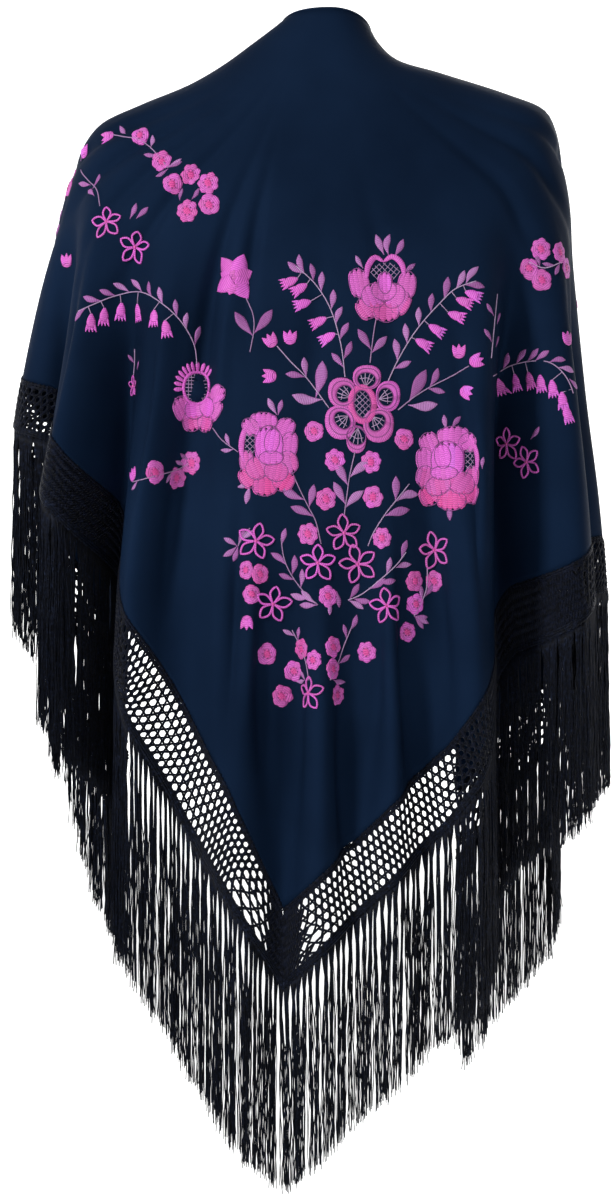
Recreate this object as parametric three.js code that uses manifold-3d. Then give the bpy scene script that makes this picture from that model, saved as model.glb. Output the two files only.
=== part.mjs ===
// A flamenco shawl as it hangs on a wearer's shoulders, with nobody inside it.
//
// A triangle of black crepe lies round the back of the neck by its long edge. Its square corner
// hangs low down the back and its two points hang in front, clear of each other. A knotted net is
// tied into the two short edges, and a long fringe hangs from the net.
//
// Millimetres, +Z up. The wearer faces +Y, so the back of the shawl faces -Y and +X is the
// wearer's right. The origin is on the neck's axis, level with the base of the neck.
//
// Around the wearer, a place is told by one number: 0 at the centre of the back, -1 at the front
// edge on the left and +1 at the front edge on the right. It counts distance along the cloth.

import * as THREE from 'three';
import { ConvexGeometry } from 'three/addons/geometries/ConvexGeometry.js';
import { mergeVertices } from 'three/addons/utils/BufferGeometryUtils.js';
import Module from 'manifold-3d';

// Driving sizes
const CLOTH_THICK = 1.5;
const NET_THICK = 1.6;
const KNOT_THICK = 1.8;
const SEAM_MOST = 3.6;          // along a line down, however much the seam slants
const SEAM_GAP = 0.9;           // square to the seam
const KNOT_ROW = 7;             // the row of close knots that ends the net
const FRINGE_PITCH = 11;        // from one lock of fringe to the next, along the edge
const LOCK_WIDE = 3.2;
const LOCK_THICK = 1.8;
const LOCK_ROOT = 1.5;          // how far a lock reaches up into the knots
const LOCK_TAPER = 0.6;         // how wide a lock's end is against its root
const CORNER_AT = -0.082;       // where the square corner hangs, a little left of centre
const CORNER_GAP = 0.3;

// How finely each piece is cut into flat faces
const CLOTH_COLUMNS = 100;
const CLOTH_ROWS = 14;
const NET_ROWS = 2;
const RING_STEPS = 90;
const CURVE_STEPS = 120;
const BESIDE = 0.003;

// Rings round the wearer, from the edge that stands at the neck to below the corner.
// Each has its half width to the left and right, its reach to the back and front, the height at
// which it passes each of those, how square it is (1 round, less is squarer), and the angle from
// the centre of the back at which the two front edges cross it.
const RING_COLUMNS = [
  'left', 'right', 'back', 'front', 'zLeft', 'zRight', 'zBack', 'zFront', 'square', 'edgeLeft', 'edgeRight',
];
const RINGS = [
  [50, 43, 50, 42, 49, 43, 62, 18, 1.0, 108, 108],
  [81, 52, 55, 54, 28, 29, 36, -5, 1.0, 114, 116],
  [113, 70, 67, 70, 6, 13, 2, -36, 0.95, 120, 124],
  [146, 114, 92, 88, -12, 1, -50, -82, 0.9, 127, 133],
  [195, 184, 112, 103, -31, -20, -115, -132, 0.85, 134, 141],
  [235, 222, 121, 110, -50, -36, -172, -178, 0.8, 138, 147],
  [251, 233, 125, 113, -69, -55, -213, -213, 0.78, 140, 151],
  [263, 241, 127, 114, -95, -90, -255, -250, 0.77, 142, 153],
  [277, 250, 128, 115, -145, -150, -305, -300, 0.77, 143, 155],
  [293, 256, 129, 116, -230, -240, -370, -365, 0.77, 144, 156],
  [311, 263, 131, 117, -330, -335, -450, -445, 0.77, 145, 157],
  [325, 275, 132, 117, -440, -445, -540, -540, 0.77, 145, 157],
  [331, 283, 133, 116, -555, -565, -650, -650, 0.77, 145, 157],
  [327, 282, 133, 114, -700, -715, -790, -790, 0.77, 145, 157],
  [320, 282, 132, 112, -880, -895, -960, -960, 0.77, 145, 157],
].map((row) => Object.fromEntries(RING_COLUMNS.map((name, i) => [name, row[i]])));

// Folds, each along a line down the cloth. A ridge stands out (depth over 0) and a valley goes in.
// at and low are its places around at elbow height and at the bottom, wide its half width in the
// same measure. It begins at the height start and has its whole depth at the height full.
const FOLDS = [
  { name: 'front left valley', at: -0.94, low: -0.94, wide: 0.042, depth: -26, start: -120, full: -420 },
  { name: 'front left ridge', at: -0.865, low: -0.865, wide: 0.05, depth: 14, start: -120, full: -420 },
  { name: 'left arm front valley', at: -0.785, low: -0.79, wide: 0.05, depth: -46, start: -110, full: -400 },
  { name: 'left arm ridge', at: -0.68, low: -0.69, wide: 0.055, depth: 9, start: -90, full: -300 },
  { name: 'left arm back valley', at: -0.585, low: -0.60, wide: 0.048, depth: -40, start: -90, full: -340 },
  { name: 'left elbow ridge', at: -0.495, low: -0.52, wide: 0.05, depth: 12, start: -90, full: -330 },
  { name: 'left deep valley', at: -0.395, low: -0.43, wide: 0.06, depth: -80, start: -130, full: -500 },
  { name: 'left back ridge', at: -0.31, low: -0.345, wide: 0.055, depth: 20, start: -120, full: -500 },
  { name: 'left blade valley', at: -0.235, low: -0.25, wide: 0.065, depth: -20, start: -80, full: -460 },
  { name: 'corner left ridge', at: -0.17, low: -0.165, wide: 0.06, depth: 11, start: -300, full: -700 },
  { name: 'corner valley', at: -0.085, low: -0.085, wide: 0.045, depth: -18, start: -420, full: -780 },
  { name: 'corner right ridge', at: -0.02, low: -0.02, wide: 0.045, depth: 10, start: -420, full: -700 },
  { name: 'middle valley', at: 0.045, low: 0.05, wide: 0.045, depth: -15, start: -380, full: -720 },
  { name: 'middle ridge', at: 0.11, low: 0.11, wide: 0.05, depth: 10, start: -300, full: -650 },
  { name: 'right blade valley', at: 0.175, low: 0.165, wide: 0.05, depth: -19, start: -260, full: -660 },
  { name: 'right back ridge', at: 0.275, low: 0.25, wide: 0.055, depth: 17, start: -120, full: -440 },
  { name: 'right deep valley', at: 0.375, low: 0.35, wide: 0.064, depth: -78, start: -110, full: -440 },
  { name: 'right elbow ridge', at: 0.48, low: 0.465, wide: 0.055, depth: 12, start: -100, full: -380 },
  { name: 'right arm valley', at: 0.58, low: 0.58, wide: 0.048, depth: -34, start: -120, full: -420 },
  { name: 'right arm ridge', at: 0.66, low: 0.66, wide: 0.055, depth: 8, start: -120, full: -420 },
  { name: 'right arm front valley', at: 0.745, low: 0.745, wide: 0.056, depth: -37, start: -120, full: -430 },
  { name: 'front right ridge', at: 0.83, low: 0.83, wide: 0.05, depth: 22, start: -130, full: -440 },
  { name: 'front right valley', at: 0.91, low: 0.91, wide: 0.044, depth: -30, start: -140, full: -460 },
];
const FOLD_AT_Z = -250;         // the height at which a fold's place is its at
const FOLD_LOW_Z = -560;        // and where it is its low

// The lower edge of the cloth: its height at places around, how far the net hangs below it and
// how long the fringe is there.
const HEM = [
  { at: -1.0, z: -632, net: 80, fringe: 226 },
  { at: -0.93, z: -542, net: 76, fringe: 240 },
  { at: -0.88, z: -478, net: 73, fringe: 188 },
  { at: -0.78, z: -372, net: 62, fringe: 204 },
  { at: -0.69, z: -308, net: 50, fringe: 208 },
  { at: -0.62, z: -322, net: 55, fringe: 202 },
  { at: -0.55, z: -358, net: 62, fringe: 230 },
  { at: -0.50, z: -382, net: 70, fringe: 236 },
  { at: -0.43, z: -440, net: 78, fringe: 250 },
  { at: -0.38, z: -508, net: 94, fringe: 254 },
  { at: -0.345, z: -552, net: 106, fringe: 252 },
  { at: -0.30, z: -592, net: 120, fringe: 248 },
  { at: -0.25, z: -645, net: 127, fringe: 246 },
  { at: -0.17, z: -728, net: 116, fringe: 240 },
  { at: CORNER_AT, z: -848, net: 80, fringe: 208 },
  { at: 0.05, z: -776, net: 80, fringe: 208 },
  { at: 0.20, z: -687, net: 84, fringe: 214 },
  { at: 0.255, z: -640, net: 84, fringe: 232 },
  { at: 0.31, z: -590, net: 78, fringe: 246 },
  { at: 0.38, z: -526, net: 68, fringe: 228 },
  { at: 0.50, z: -485, net: 60, fringe: 202 },
  { at: 0.64, z: -474, net: 58, fringe: 194 },
  { at: 0.74, z: -524, net: 66, fringe: 208 },
  { at: 0.80, z: -590, net: 74, fringe: 226 },
  { at: 0.86, z: -644, net: 78, fringe: 230 },
  { at: 0.94, z: -698, net: 80, fringe: 226 },
  { at: 0.98, z: -730, net: 82, fringe: 234 },
  { at: 1.0, z: -744, net: 82, fringe: 196 },
];

// Where the row of knots and its fringe is parted into pieces.
const FRINGE_PIECES = [
  { name: 'fringe_front_left', from: -1, to: -0.8 },
  { name: 'fringe_arm_left', from: -0.8, to: -0.35 },
  { name: 'fringe_back_left', from: -0.35, to: CORNER_AT },
  { name: 'fringe_back_right', from: CORNER_AT, to: 0.28 },
  { name: 'fringe_arm_right', from: 0.28, to: 0.8 },
  { name: 'fringe_front_right', from: 0.8, to: 1 },
];

const smooth = (t) => {
  const c = Math.min(1, Math.max(0, t));
  return c * c * (3 - 2 * c);
};

// A value from a table whose rows stand in order of at, straight between one row and the next.
function fromTable(rows, at, column) {
  const after = rows.findIndex((row) => row.at >= at);
  if (after <= 0) return after === 0 ? rows[0][column] : rows[rows.length - 1][column];
  const a = rows[after - 1];
  const b = rows[after];
  return a[column] + ((at - a.at) / (b.at - a.at)) * (b[column] - a[column]);
}

// A point of a ring, at an angle from the centre of the back, towards one side (-1 left, 1 right).
function ringPoint(ring, angle, side) {
  const s = Math.sin(angle);
  const c = Math.cos(angle);
  const zSide = side < 0 ? ring.zLeft : ring.zRight;
  const tilt = (ring.zBack - ring.zFront) / 2;
  const sag = (ring.zBack + ring.zFront) / 2 - zSide;
  return new THREE.Vector3(
    side * (side < 0 ? ring.left : ring.right) * Math.pow(Math.abs(s), ring.square),
    -Math.sign(c) * (c > 0 ? ring.back : ring.front) * Math.pow(Math.abs(c), ring.square),
    zSide + tilt * c + sag * c * c,
  );
}

// One side of a ring as points with their distance from the centre of the back.
function ringSide(ring, side) {
  const edge = THREE.MathUtils.degToRad(side < 0 ? ring.edgeLeft : ring.edgeRight);
  const points = [];
  const along = [];
  for (let i = 0; i <= RING_STEPS; i += 1) {
    points.push(ringPoint(ring, (edge * i) / RING_STEPS, side));
    along.push(i ? along[i - 1] + points[i].distanceTo(points[i - 1]) : 0);
  }
  return { points, along };
}
const SIDES = RINGS.map((ring) => ({ left: ringSide(ring, -1), right: ringSide(ring, 1) }));

// The point of ring number k at a place around, before any fold.
function onRing(k, at) {
  const { points, along } = at < 0 ? SIDES[k].left : SIDES[k].right;
  const target = Math.min(1, Math.abs(at)) * along[along.length - 1];
  let i = 1;
  while (i < along.length - 1 && along[i] < target) i += 1;
  const part = (target - along[i - 1]) / (along[i] - along[i - 1]);
  return points[i - 1].clone().lerp(points[i], part);
}

// How far the folds move the cloth outwards at a place and height.
function foldDepth(at, z) {
  let depth = 0;
  for (const fold of FOLDS) {
    const low = Math.min(1, Math.max(0, (FOLD_AT_Z - z) / (FOLD_AT_Z - FOLD_LOW_Z)));
    const centre = fold.at + (fold.low - fold.at) * low;
    const off = Math.abs(at - centre) / fold.wide;
    if (off >= 2) continue;
    const shape = Math.exp(-off * off * 1.6) * smooth(2 - off);
    depth += fold.depth * shape * smooth((fold.start - z) / (fold.start - fold.full));
  }
  return depth;
}

// The point of ring number k at a place around, moved by the folds square to the ring.
function foldedRing(k, at) {
  const step = 0.004;
  const point = onRing(k, at);
  const ahead = onRing(k, Math.min(1, at + step));
  const behind = onRing(k, Math.max(-1, at - step));
  const out = new THREE.Vector3(ahead.y - behind.y, behind.x - ahead.x, 0).normalize();
  return point.addScaledVector(out, foldDepth(at, point.z));
}

// A line down the cloth: points evenly spaced in the curve's own measure, with their distance.
function lineDown(at) {
  const curve = new THREE.CatmullRomCurve3(RINGS.map((_, k) => foldedRing(k, at)));
  const points = curve.getPoints(CURVE_STEPS);
  const along = [0];
  for (let i = 1; i < points.length; i += 1) {
    along.push(along[i - 1] + points[i].distanceTo(points[i - 1]));
  }
  return { points, along };
}

// Which step of a line down the cloth lies at a distance from its top, with the part of a step.
function stepAt(line, distance) {
  let i = 1;
  while (i < line.along.length - 1 && line.along[i] < distance) i += 1;
  return i - 1 + (distance - line.along[i - 1]) / (line.along[i] - line.along[i - 1]);
}

// The point of a line down the cloth at a step.
function pointAt(line, step) {
  const i = Math.min(line.points.length - 2, Math.max(0, Math.floor(step)));
  return line.points[i].clone().lerp(line.points[i + 1], step - i);
}

// The distance down a line at which it passes a height.
function distanceAtZ(line, z) {
  let i = 1;
  while (i < line.points.length - 1 && line.points[i].z > z) i += 1;
  const part = (z - line.points[i - 1].z) / (line.points[i].z - line.points[i - 1].z);
  return line.along[i - 1] + part * (line.along[i] - line.along[i - 1]);
}

// A column of the shawl: its line down, where the cloth ends on it and where the net ends.
// The lines close beside it tell which way the cloth faces.
function column(at) {
  const line = lineDown(at);
  const hemZ = fromTable(HEM, at, 'z');
  return {
    at,
    line,
    before: lineDown(Math.max(-1, at - BESIDE)),
    after: lineDown(Math.min(1, at + BESIDE)),
    hem: distanceAtZ(line, hemZ),
    net: distanceAtZ(line, hemZ - fromTable(HEM, at, 'net')),
    fringe: fromTable(HEM, at, 'fringe'),
  };
}

// A point of the shawl on a column, with the direction in which the cloth faces there.
function place(c, distance) {
  const step = stepAt(c.line, distance);
  const down = pointAt(c.line, step + 0.5).sub(pointAt(c.line, step - 0.5));
  const across = pointAt(c.after, step).sub(pointAt(c.before, step));
  return { point: pointAt(c.line, step), out: down.cross(across).normalize() };
}

// Places from one to another, evenly spaced along the folded cloth at elbow height.
function placesBetween(from, to, count) {
  const FINE = 400;
  const level = RINGS.findIndex((ring) => ring.zBack < FOLD_AT_Z);
  const places = [];
  const along = [0];
  let before = null;
  for (let i = 0; i <= FINE; i += 1) {
    const at = from + ((to - from) * i) / FINE;
    const point = foldedRing(level, at);
    if (before) along.push(along[i - 1] + point.distanceTo(before));
    places.push(at);
    before = point;
  }
  const total = along[along.length - 1];
  return Array.from({ length: count + 1 }, (_, n) => {
    const target = (total * n) / count;
    let i = 1;
    while (i < FINE && along[i] < target) i += 1;
    const part = (target - along[i - 1]) / (along[i] - along[i - 1]);
    return places[i - 1] + part * (places[i] - places[i - 1]);
  });
}

// A closed wall on a grid of places, grid[column][row], thick towards the inside of the shawl.
function wall(grid, thick) {
  const columns = grid.length;
  const rows = grid[0].length;
  const outer = grid.flat().map((p) => p.point);
  const inner = grid.flat().map((p) => p.point.clone().addScaledVector(p.out, -thick));
  const count = outer.length;
  const faces = [];
  const quad = (a, b, c, d) => faces.push(a, b, c, a, c, d);
  const id = (i, j) => i * rows + j;
  for (let i = 0; i < columns - 1; i += 1) {
    for (let j = 0; j < rows - 1; j += 1) {
      quad(id(i, j), id(i, j + 1), id(i + 1, j + 1), id(i + 1, j));
      quad(count + id(i, j), count + id(i + 1, j), count + id(i + 1, j + 1), count + id(i, j + 1));
    }
    quad(id(i, 0), id(i + 1, 0), count + id(i + 1, 0), count + id(i, 0));
    quad(id(i + 1, rows - 1), id(i, rows - 1), count + id(i, rows - 1), count + id(i + 1, rows - 1));
  }
  for (let j = 0; j < rows - 1; j += 1) {
    quad(id(0, j + 1), id(0, j), count + id(0, j), count + id(0, j + 1));
    const last = id(columns - 1, j);
    quad(last, last + 1, count + last + 1, count + last);
  }
  const positions = [...outer, ...inner].flatMap((p) => [p.x, p.y, p.z]);
  const geometry = new THREE.BufferGeometry();
  geometry.setAttribute('position', new THREE.Float32BufferAttribute(positions, 3));
  geometry.setIndex(faces);
  geometry.computeVertexNormals();
  return geometry;
}

// How far along a column a seam's gap reaches: further where the edge slants or the cloth turns.
// edge is the name of the column's distance at which the seam runs.
function slantedGap(columns, i, edge) {
  const a = columns[Math.max(0, i - 1)];
  const b = columns[Math.min(columns.length - 1, i + 1)];
  const top = place(a, a[edge]);
  const bottom = place(b, b[edge]);
  const drop = Math.abs(top.point.z - bottom.point.z);
  const wide = Math.hypot(top.point.x - bottom.point.x, top.point.y - bottom.point.y);
  return Math.min(SEAM_MOST, SEAM_GAP * Math.hypot(1, drop / wide) * (2 - top.out.dot(bottom.out)));
}

// A grid between two distances on each column.
function gridBetween(columns, from, to, rows) {
  return columns.map((c) => Array.from({ length: rows + 1 }, (_, j) => (
    place(c, from(c) + ((to(c) - from(c)) * j) / rows)
  )));
}

const cloth = new THREE.MeshStandardMaterial({ name: 'crepe', color: '#0c1420', roughness: 0.62 });
const thread = new THREE.MeshStandardMaterial({ name: 'fringe thread', color: '#090b12', roughness: 0.5 });

const shawl = new THREE.Group();
shawl.name = 'flamenco_shawl';
function add(name, geometry, material) {
  const mesh = new THREE.Mesh(geometry, material);
  mesh.name = name;
  shawl.add(mesh);
}

// A closed mesh as a solid that can be joined to others, and back.
const wasm = await Module();
wasm.setup();
function toSolid(geometry) {
  const plain = geometry.clone();
  plain.deleteAttribute('normal');
  plain.deleteAttribute('uv');
  const merged = mergeVertices(plain);
  return new wasm.Manifold(new wasm.Mesh({
    numProp: 3,
    vertProperties: new Float32Array(merged.attributes.position.array),
    triVerts: new Uint32Array(merged.index.array),
  }));
}
function toGeometry(solid) {
  const { vertProperties, triVerts } = solid.getMesh();
  const geometry = new THREE.BufferGeometry();
  geometry.setAttribute('position', new THREE.BufferAttribute(vertProperties, 3));
  geometry.setIndex(new THREE.BufferAttribute(triVerts, 1));
  geometry.computeVertexNormals();
  return geometry;
}

// A lock of fringe: three sides, one of them outwards, narrowing as it hangs down from the knots.
function lock(root, long) {
  const out = new THREE.Vector3(root.out.x, root.out.y, 0).normalize();
  const across = new THREE.Vector3(-out.y, out.x, 0);
  const top = root.point.clone().addScaledVector(root.out, -KNOT_THICK / 2);
  const points = [[0, 1], [long + LOCK_ROOT, LOCK_TAPER]].flatMap(([down, size]) => (
    [[-1, 1], [1, 1], [0, -1]].map(([a, b]) => top.clone()
      .addScaledVector(across, (a * size * LOCK_WIDE) / 2)
      .addScaledVector(out, (b * size * LOCK_THICK) / 2)
      .setZ(top.z - down))
  ));
  return new ConvexGeometry(points);
}

// Locks evenly spaced along the lower edge of a row of knots, as straight between its columns.
function locksAlong(columns) {
  const edge = columns.map((c) => place(c, c.net - LOCK_ROOT));
  const along = [0];
  for (let i = 1; i < edge.length; i += 1) {
    along.push(along[i - 1] + edge[i].point.distanceTo(edge[i - 1].point));
  }
  const total = along[along.length - 1];
  const count = Math.round(total / FRINGE_PITCH);
  return Array.from({ length: count }, (_, n) => {
    const target = (total * (n + 0.5)) / count;
    let i = 1;
    while (along[i] < target) i += 1;
    const part = (target - along[i - 1]) / (along[i] - along[i - 1]);
    const root = {
      point: edge[i - 1].point.clone().lerp(edge[i].point, part),
      out: edge[i - 1].out.clone().lerp(edge[i].out, part).normalize(),
    };
    return lock(root, THREE.MathUtils.lerp(columns[i - 1].fringe, columns[i].fringe, part));
  });
}

// Cloth
const share = (CORNER_AT + 1) / 2;
const leftCount = Math.round(CLOTH_COLUMNS * share);
const leftPlaces = placesBetween(-1, CORNER_AT, leftCount);
const rightPlaces = placesBetween(CORNER_AT, 1, CLOTH_COLUMNS - leftCount);
const clothColumns = [...leftPlaces, ...rightPlaces.slice(1)].map(column);
add('cloth_panel', wall(gridBetween(clothColumns, () => 0, (c) => c.hem, CLOTH_ROWS), CLOTH_THICK), cloth);

// Net borders, one on each short edge, which meet at the corner
const cornerStep = CORNER_GAP / 2 / 540;
const leftColumns = [...leftPlaces.slice(0, -1), CORNER_AT - cornerStep].map(column);
const rightColumns = [CORNER_AT + cornerStep, ...rightPlaces.slice(1)].map(column);
for (const [side, columns] of [['left', leftColumns], ['right', rightColumns]]) {
  columns.forEach((c, i) => { c.gap = slantedGap(columns, i, 'hem'); });
  const grid = gridBetween(columns, (c) => c.hem + c.gap, (c) => c.net - KNOT_ROW, NET_ROWS);
  add(`net_border_${side}`, wall(grid, NET_THICK), thread);
}

// The row of knots that ends the net, with the fringe that hangs from it
for (const piece of FRINGE_PIECES) {
  const within = [...leftPlaces.slice(0, -1), ...rightPlaces.slice(1)]
    .filter((at) => at > piece.from + 2 * cornerStep && at < piece.to - 2 * cornerStep);
  const ends = [piece.from, piece.to].map((at, i) => (
    Math.abs(at) === 1 ? at : at + (i ? -cornerStep : cornerStep)
  ));
  const columns = [ends[0], ...within, ends[1]].map(column);
  columns.forEach((c, i) => { c.gap = slantedGap(columns, i, 'net'); });
  const knots = wall(gridBetween(columns, (c) => c.net - KNOT_ROW + c.gap, (c) => c.net, 1), KNOT_THICK);
  let solid = toSolid(knots);
  for (const one of locksAlong(columns)) solid = solid.add(toSolid(one));
  add(piece.name, toGeometry(solid), thread);
}

export default shawl;
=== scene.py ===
# Looks for a flamenco shawl worn round the shoulders: blue black crepe with pink satin-stitch
# embroidery, a knotted net tied into its two short edges, and a long fringe.
#
# The cloth hangs over the same rings and folds as the part's solids, drawn here more finely.
# Tables are in millimetres, +Z up, with the shawl's fronts at +Y; Blender gets metres. A place
# around runs along the cloth from -1 at the left front edge, by 0 at the back, to 1 at the right.

import math

import bpy
import numpy as np
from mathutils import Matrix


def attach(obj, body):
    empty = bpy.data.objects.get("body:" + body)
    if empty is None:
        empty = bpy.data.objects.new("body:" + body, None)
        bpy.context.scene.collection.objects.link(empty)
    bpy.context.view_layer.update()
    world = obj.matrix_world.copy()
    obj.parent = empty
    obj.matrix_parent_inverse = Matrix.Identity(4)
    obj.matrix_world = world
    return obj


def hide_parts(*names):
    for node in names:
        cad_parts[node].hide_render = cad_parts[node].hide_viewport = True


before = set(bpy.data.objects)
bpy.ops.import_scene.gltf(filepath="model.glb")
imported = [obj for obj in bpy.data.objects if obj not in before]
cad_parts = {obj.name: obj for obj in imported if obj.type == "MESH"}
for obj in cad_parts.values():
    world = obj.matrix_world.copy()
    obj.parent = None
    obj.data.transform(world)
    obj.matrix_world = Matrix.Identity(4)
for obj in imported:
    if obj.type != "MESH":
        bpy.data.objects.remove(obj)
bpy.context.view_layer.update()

MM = 0.001
chance = np.random.default_rng(1622)   # every uneven size is drawn from this, in turn

# The drape, as in the part's source

CORNER_AT = -0.082

# Rings of cloth, from the neck down: half widths left and right, reach back and front,
# heights at left, right, back and front, squareness, and the two front edges' angles
RINGS = [
    (50, 43, 50, 42, 49, 43, 62, 18, 1.0, 108, 108),
    (81, 52, 55, 54, 28, 29, 36, -5, 1.0, 114, 116),
    (113, 70, 67, 70, 6, 13, 2, -36, 0.95, 120, 124),
    (146, 114, 92, 88, -12, 1, -50, -82, 0.9, 127, 133),
    (195, 184, 112, 103, -31, -20, -115, -132, 0.85, 134, 141),
    (235, 222, 121, 110, -50, -36, -172, -178, 0.8, 138, 147),
    (251, 233, 125, 113, -69, -55, -213, -213, 0.78, 140, 151),
    (263, 241, 127, 114, -95, -90, -255, -250, 0.77, 142, 153),
    (277, 250, 128, 115, -145, -150, -305, -300, 0.77, 143, 155),
    (293, 256, 129, 116, -230, -240, -370, -365, 0.77, 144, 156),
    (311, 263, 131, 117, -330, -335, -450, -445, 0.77, 145, 157),
    (325, 275, 132, 117, -440, -445, -540, -540, 0.77, 145, 157),
    (331, 283, 133, 116, -555, -565, -650, -650, 0.77, 145, 157),
    (327, 282, 133, 114, -700, -715, -790, -790, 0.77, 145, 157),
    (320, 282, 132, 112, -880, -895, -960, -960, 0.77, 145, 157),
]

# Folds: name, place around at FOLD_AT_Z and at FOLD_LOW_Z, half width, depth, start and full height
FOLDS = [
    ("front left valley", -0.94, -0.94, 0.042, -26, -120, -420),
    ("front left ridge", -0.865, -0.865, 0.05, 14, -120, -420),
    ("left arm front valley", -0.785, -0.79, 0.05, -46, -110, -400),
    ("left arm ridge", -0.68, -0.69, 0.055, 9, -90, -300),
    ("left arm back valley", -0.585, -0.60, 0.048, -40, -90, -340),
    ("left elbow ridge", -0.495, -0.52, 0.05, 12, -90, -330),
    ("left deep valley", -0.395, -0.43, 0.06, -80, -130, -500),
    ("left back ridge", -0.31, -0.345, 0.055, 20, -120, -500),
    ("left blade valley", -0.235, -0.25, 0.065, -20, -80, -460),
    ("corner left ridge", -0.17, -0.165, 0.06, 11, -300, -700),
    ("corner valley", -0.085, -0.085, 0.045, -18, -420, -780),
    ("corner right ridge", -0.02, -0.02, 0.045, 10, -420, -700),
    ("middle valley", 0.045, 0.05, 0.045, -15, -380, -720),
    ("middle ridge", 0.11, 0.11, 0.05, 10, -300, -650),
    ("right blade valley", 0.175, 0.165, 0.05, -19, -260, -660),
    ("right back ridge", 0.275, 0.25, 0.055, 17, -120, -440),
    ("right deep valley", 0.375, 0.35, 0.064, -78, -110, -440),
    ("right elbow ridge", 0.48, 0.465, 0.055, 12, -100, -380),
    ("right arm valley", 0.58, 0.58, 0.048, -34, -120, -420),
    ("right arm ridge", 0.66, 0.66, 0.055, 8, -120, -420),
    ("right arm front valley", 0.745, 0.745, 0.056, -37, -120, -430),
    ("front right ridge", 0.83, 0.83, 0.05, 22, -130, -440),
    ("front right valley", 0.91, 0.91, 0.044, -30, -140, -460),
]
FOLD_AT_Z, FOLD_LOW_Z = -250, -560     # the two heights that a fold's places are given for
FOLD_STEEP, FOLD_REACH = 1.6, 2        # how fast a fold falls away, and where it ends, in half widths

# The cloth's lower edge: place around, height, drop of the net below it, length of the fringe
HEM = [
    (-1.0, -632, 80, 226),
    (-0.93, -542, 76, 240),
    (-0.88, -478, 73, 188),
    (-0.78, -372, 62, 204),
    (-0.69, -308, 50, 208),
    (-0.62, -322, 55, 202),
    (-0.55, -358, 62, 230),
    (-0.50, -382, 70, 236),
    (-0.43, -440, 78, 250),
    (-0.38, -508, 94, 254),
    (-0.345, -552, 106, 252),
    (-0.30, -592, 120, 248),
    (-0.25, -645, 127, 246),
    (-0.17, -728, 116, 240),
    (CORNER_AT, -848, 80, 208),
    (0.05, -776, 80, 208),
    (0.20, -687, 84, 214),
    (0.255, -640, 84, 232),
    (0.31, -590, 78, 246),
    (0.38, -526, 68, 228),
    (0.50, -485, 60, 202),
    (0.64, -474, 58, 194),
    (0.74, -524, 66, 208),
    (0.80, -590, 74, 226),
    (0.86, -644, 78, 230),
    (0.94, -698, 80, 226),
    (0.98, -730, 82, 234),
    (1.0, -744, 82, 196),
]

# Soft creases too small for the solids: place around, height of the middle, length, lean in
# degrees from upright, half width and depth
CREASES = [
    # left shoulder, fanning from the neck
    (-0.60, -74, 170, 58, 10, -5.6),
    (-0.52, -98, 190, 46, 10, -5.9),
    (-0.44, -120, 200, 34, 11, -5.3),
    (-0.36, -150, 230, 24, 10, -5.9),
    (-0.66, -150, 190, 14, 9, -4.9),
    # right shoulder
    (0.56, -78, 140, -56, 9, -4.9),
    (0.48, -108, 180, -40, 10, -5.6),
    (0.38, -140, 210, -26, 11, -4.7),
    (0.62, -130, 170, -14, 9, -4.9),
    # long troughs down the back
    (-0.225, -250, 300, 3, 9, -10.5),
    (-0.155, -200, 190, -3, 8, -6.9),
    (-0.165, -570, 280, 3, 9, -11.5),
    (-0.115, -650, 200, -2, 7, -7.3),
    (-0.063, -670, 300, 1, 9, -12.4),
    (0.027, -720, 260, -2, 8, -11.5),
    (0.075, -640, 220, 3, 8, -6.9),
    (0.135, -620, 300, -3, 9, -11.9),
    (0.19, -560, 240, -4, 8, -9.2),
    (0.245, -430, 300, -5, 9, -10.5),
    (0.10, -250, 260, -5, 12, -5.0),
    (-0.03, -300, 280, 3, 13, -4.6),
    (-0.27, -460, 260, 5, 9, -10.1),
    (-0.33, -350, 240, 4, 9, -9.2),
    # ridges between them
    (-0.135, -580, 220, 2, 8, 5.9),
    (-0.015, -660, 260, 0, 9, 6.5),
    (0.105, -640, 240, -2, 8, 5.9),
    (-0.19, -300, 240, 3, 8, 5.0),
    # sides and fronts
    (-0.52, -300, 230, 4, 9, -9.6),
    (-0.60, -330, 240, -3, 8, -7.8),
    (0.52, -330, 260, -3, 9, -9.6),
    (0.58, -400, 240, 3, 8, -7.8),
    (-0.74, -330, 300, 6, 10, -9.2),
    (-0.86, -380, 320, 4, 10, -9.6),
    (0.74, -330, 300, -5, 10, -9.2),
    (0.87, -380, 320, -4, 10, -9.6),
]
CREASE_SPAN = 560      # millimetres of cloth from the centre of the back to a front edge

# How finely the cloth is measured: steps round half a ring, places around, rows from one ring to
# the next, and how far to either side of a place the ring's direction is read
RING_STEPS = 721
PLACES = 1601
ROWS_A_RING = 20
BESIDE = 0.004


def smooth(t):
    """From 0 to 1, slow at both ends."""
    t = np.clip(t, 0, 1)
    return t * t * (3 - 2 * t)


def unit(v):
    """Directions made one long."""
    return v / np.maximum(np.linalg.norm(v, axis=-1, keepdims=True), 1e-9)


def along_line(points):
    """How far along a line each of its points is."""
    return np.concatenate([[0], np.cumsum(np.linalg.norm(np.diff(points, axis=0), axis=1))])


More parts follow.
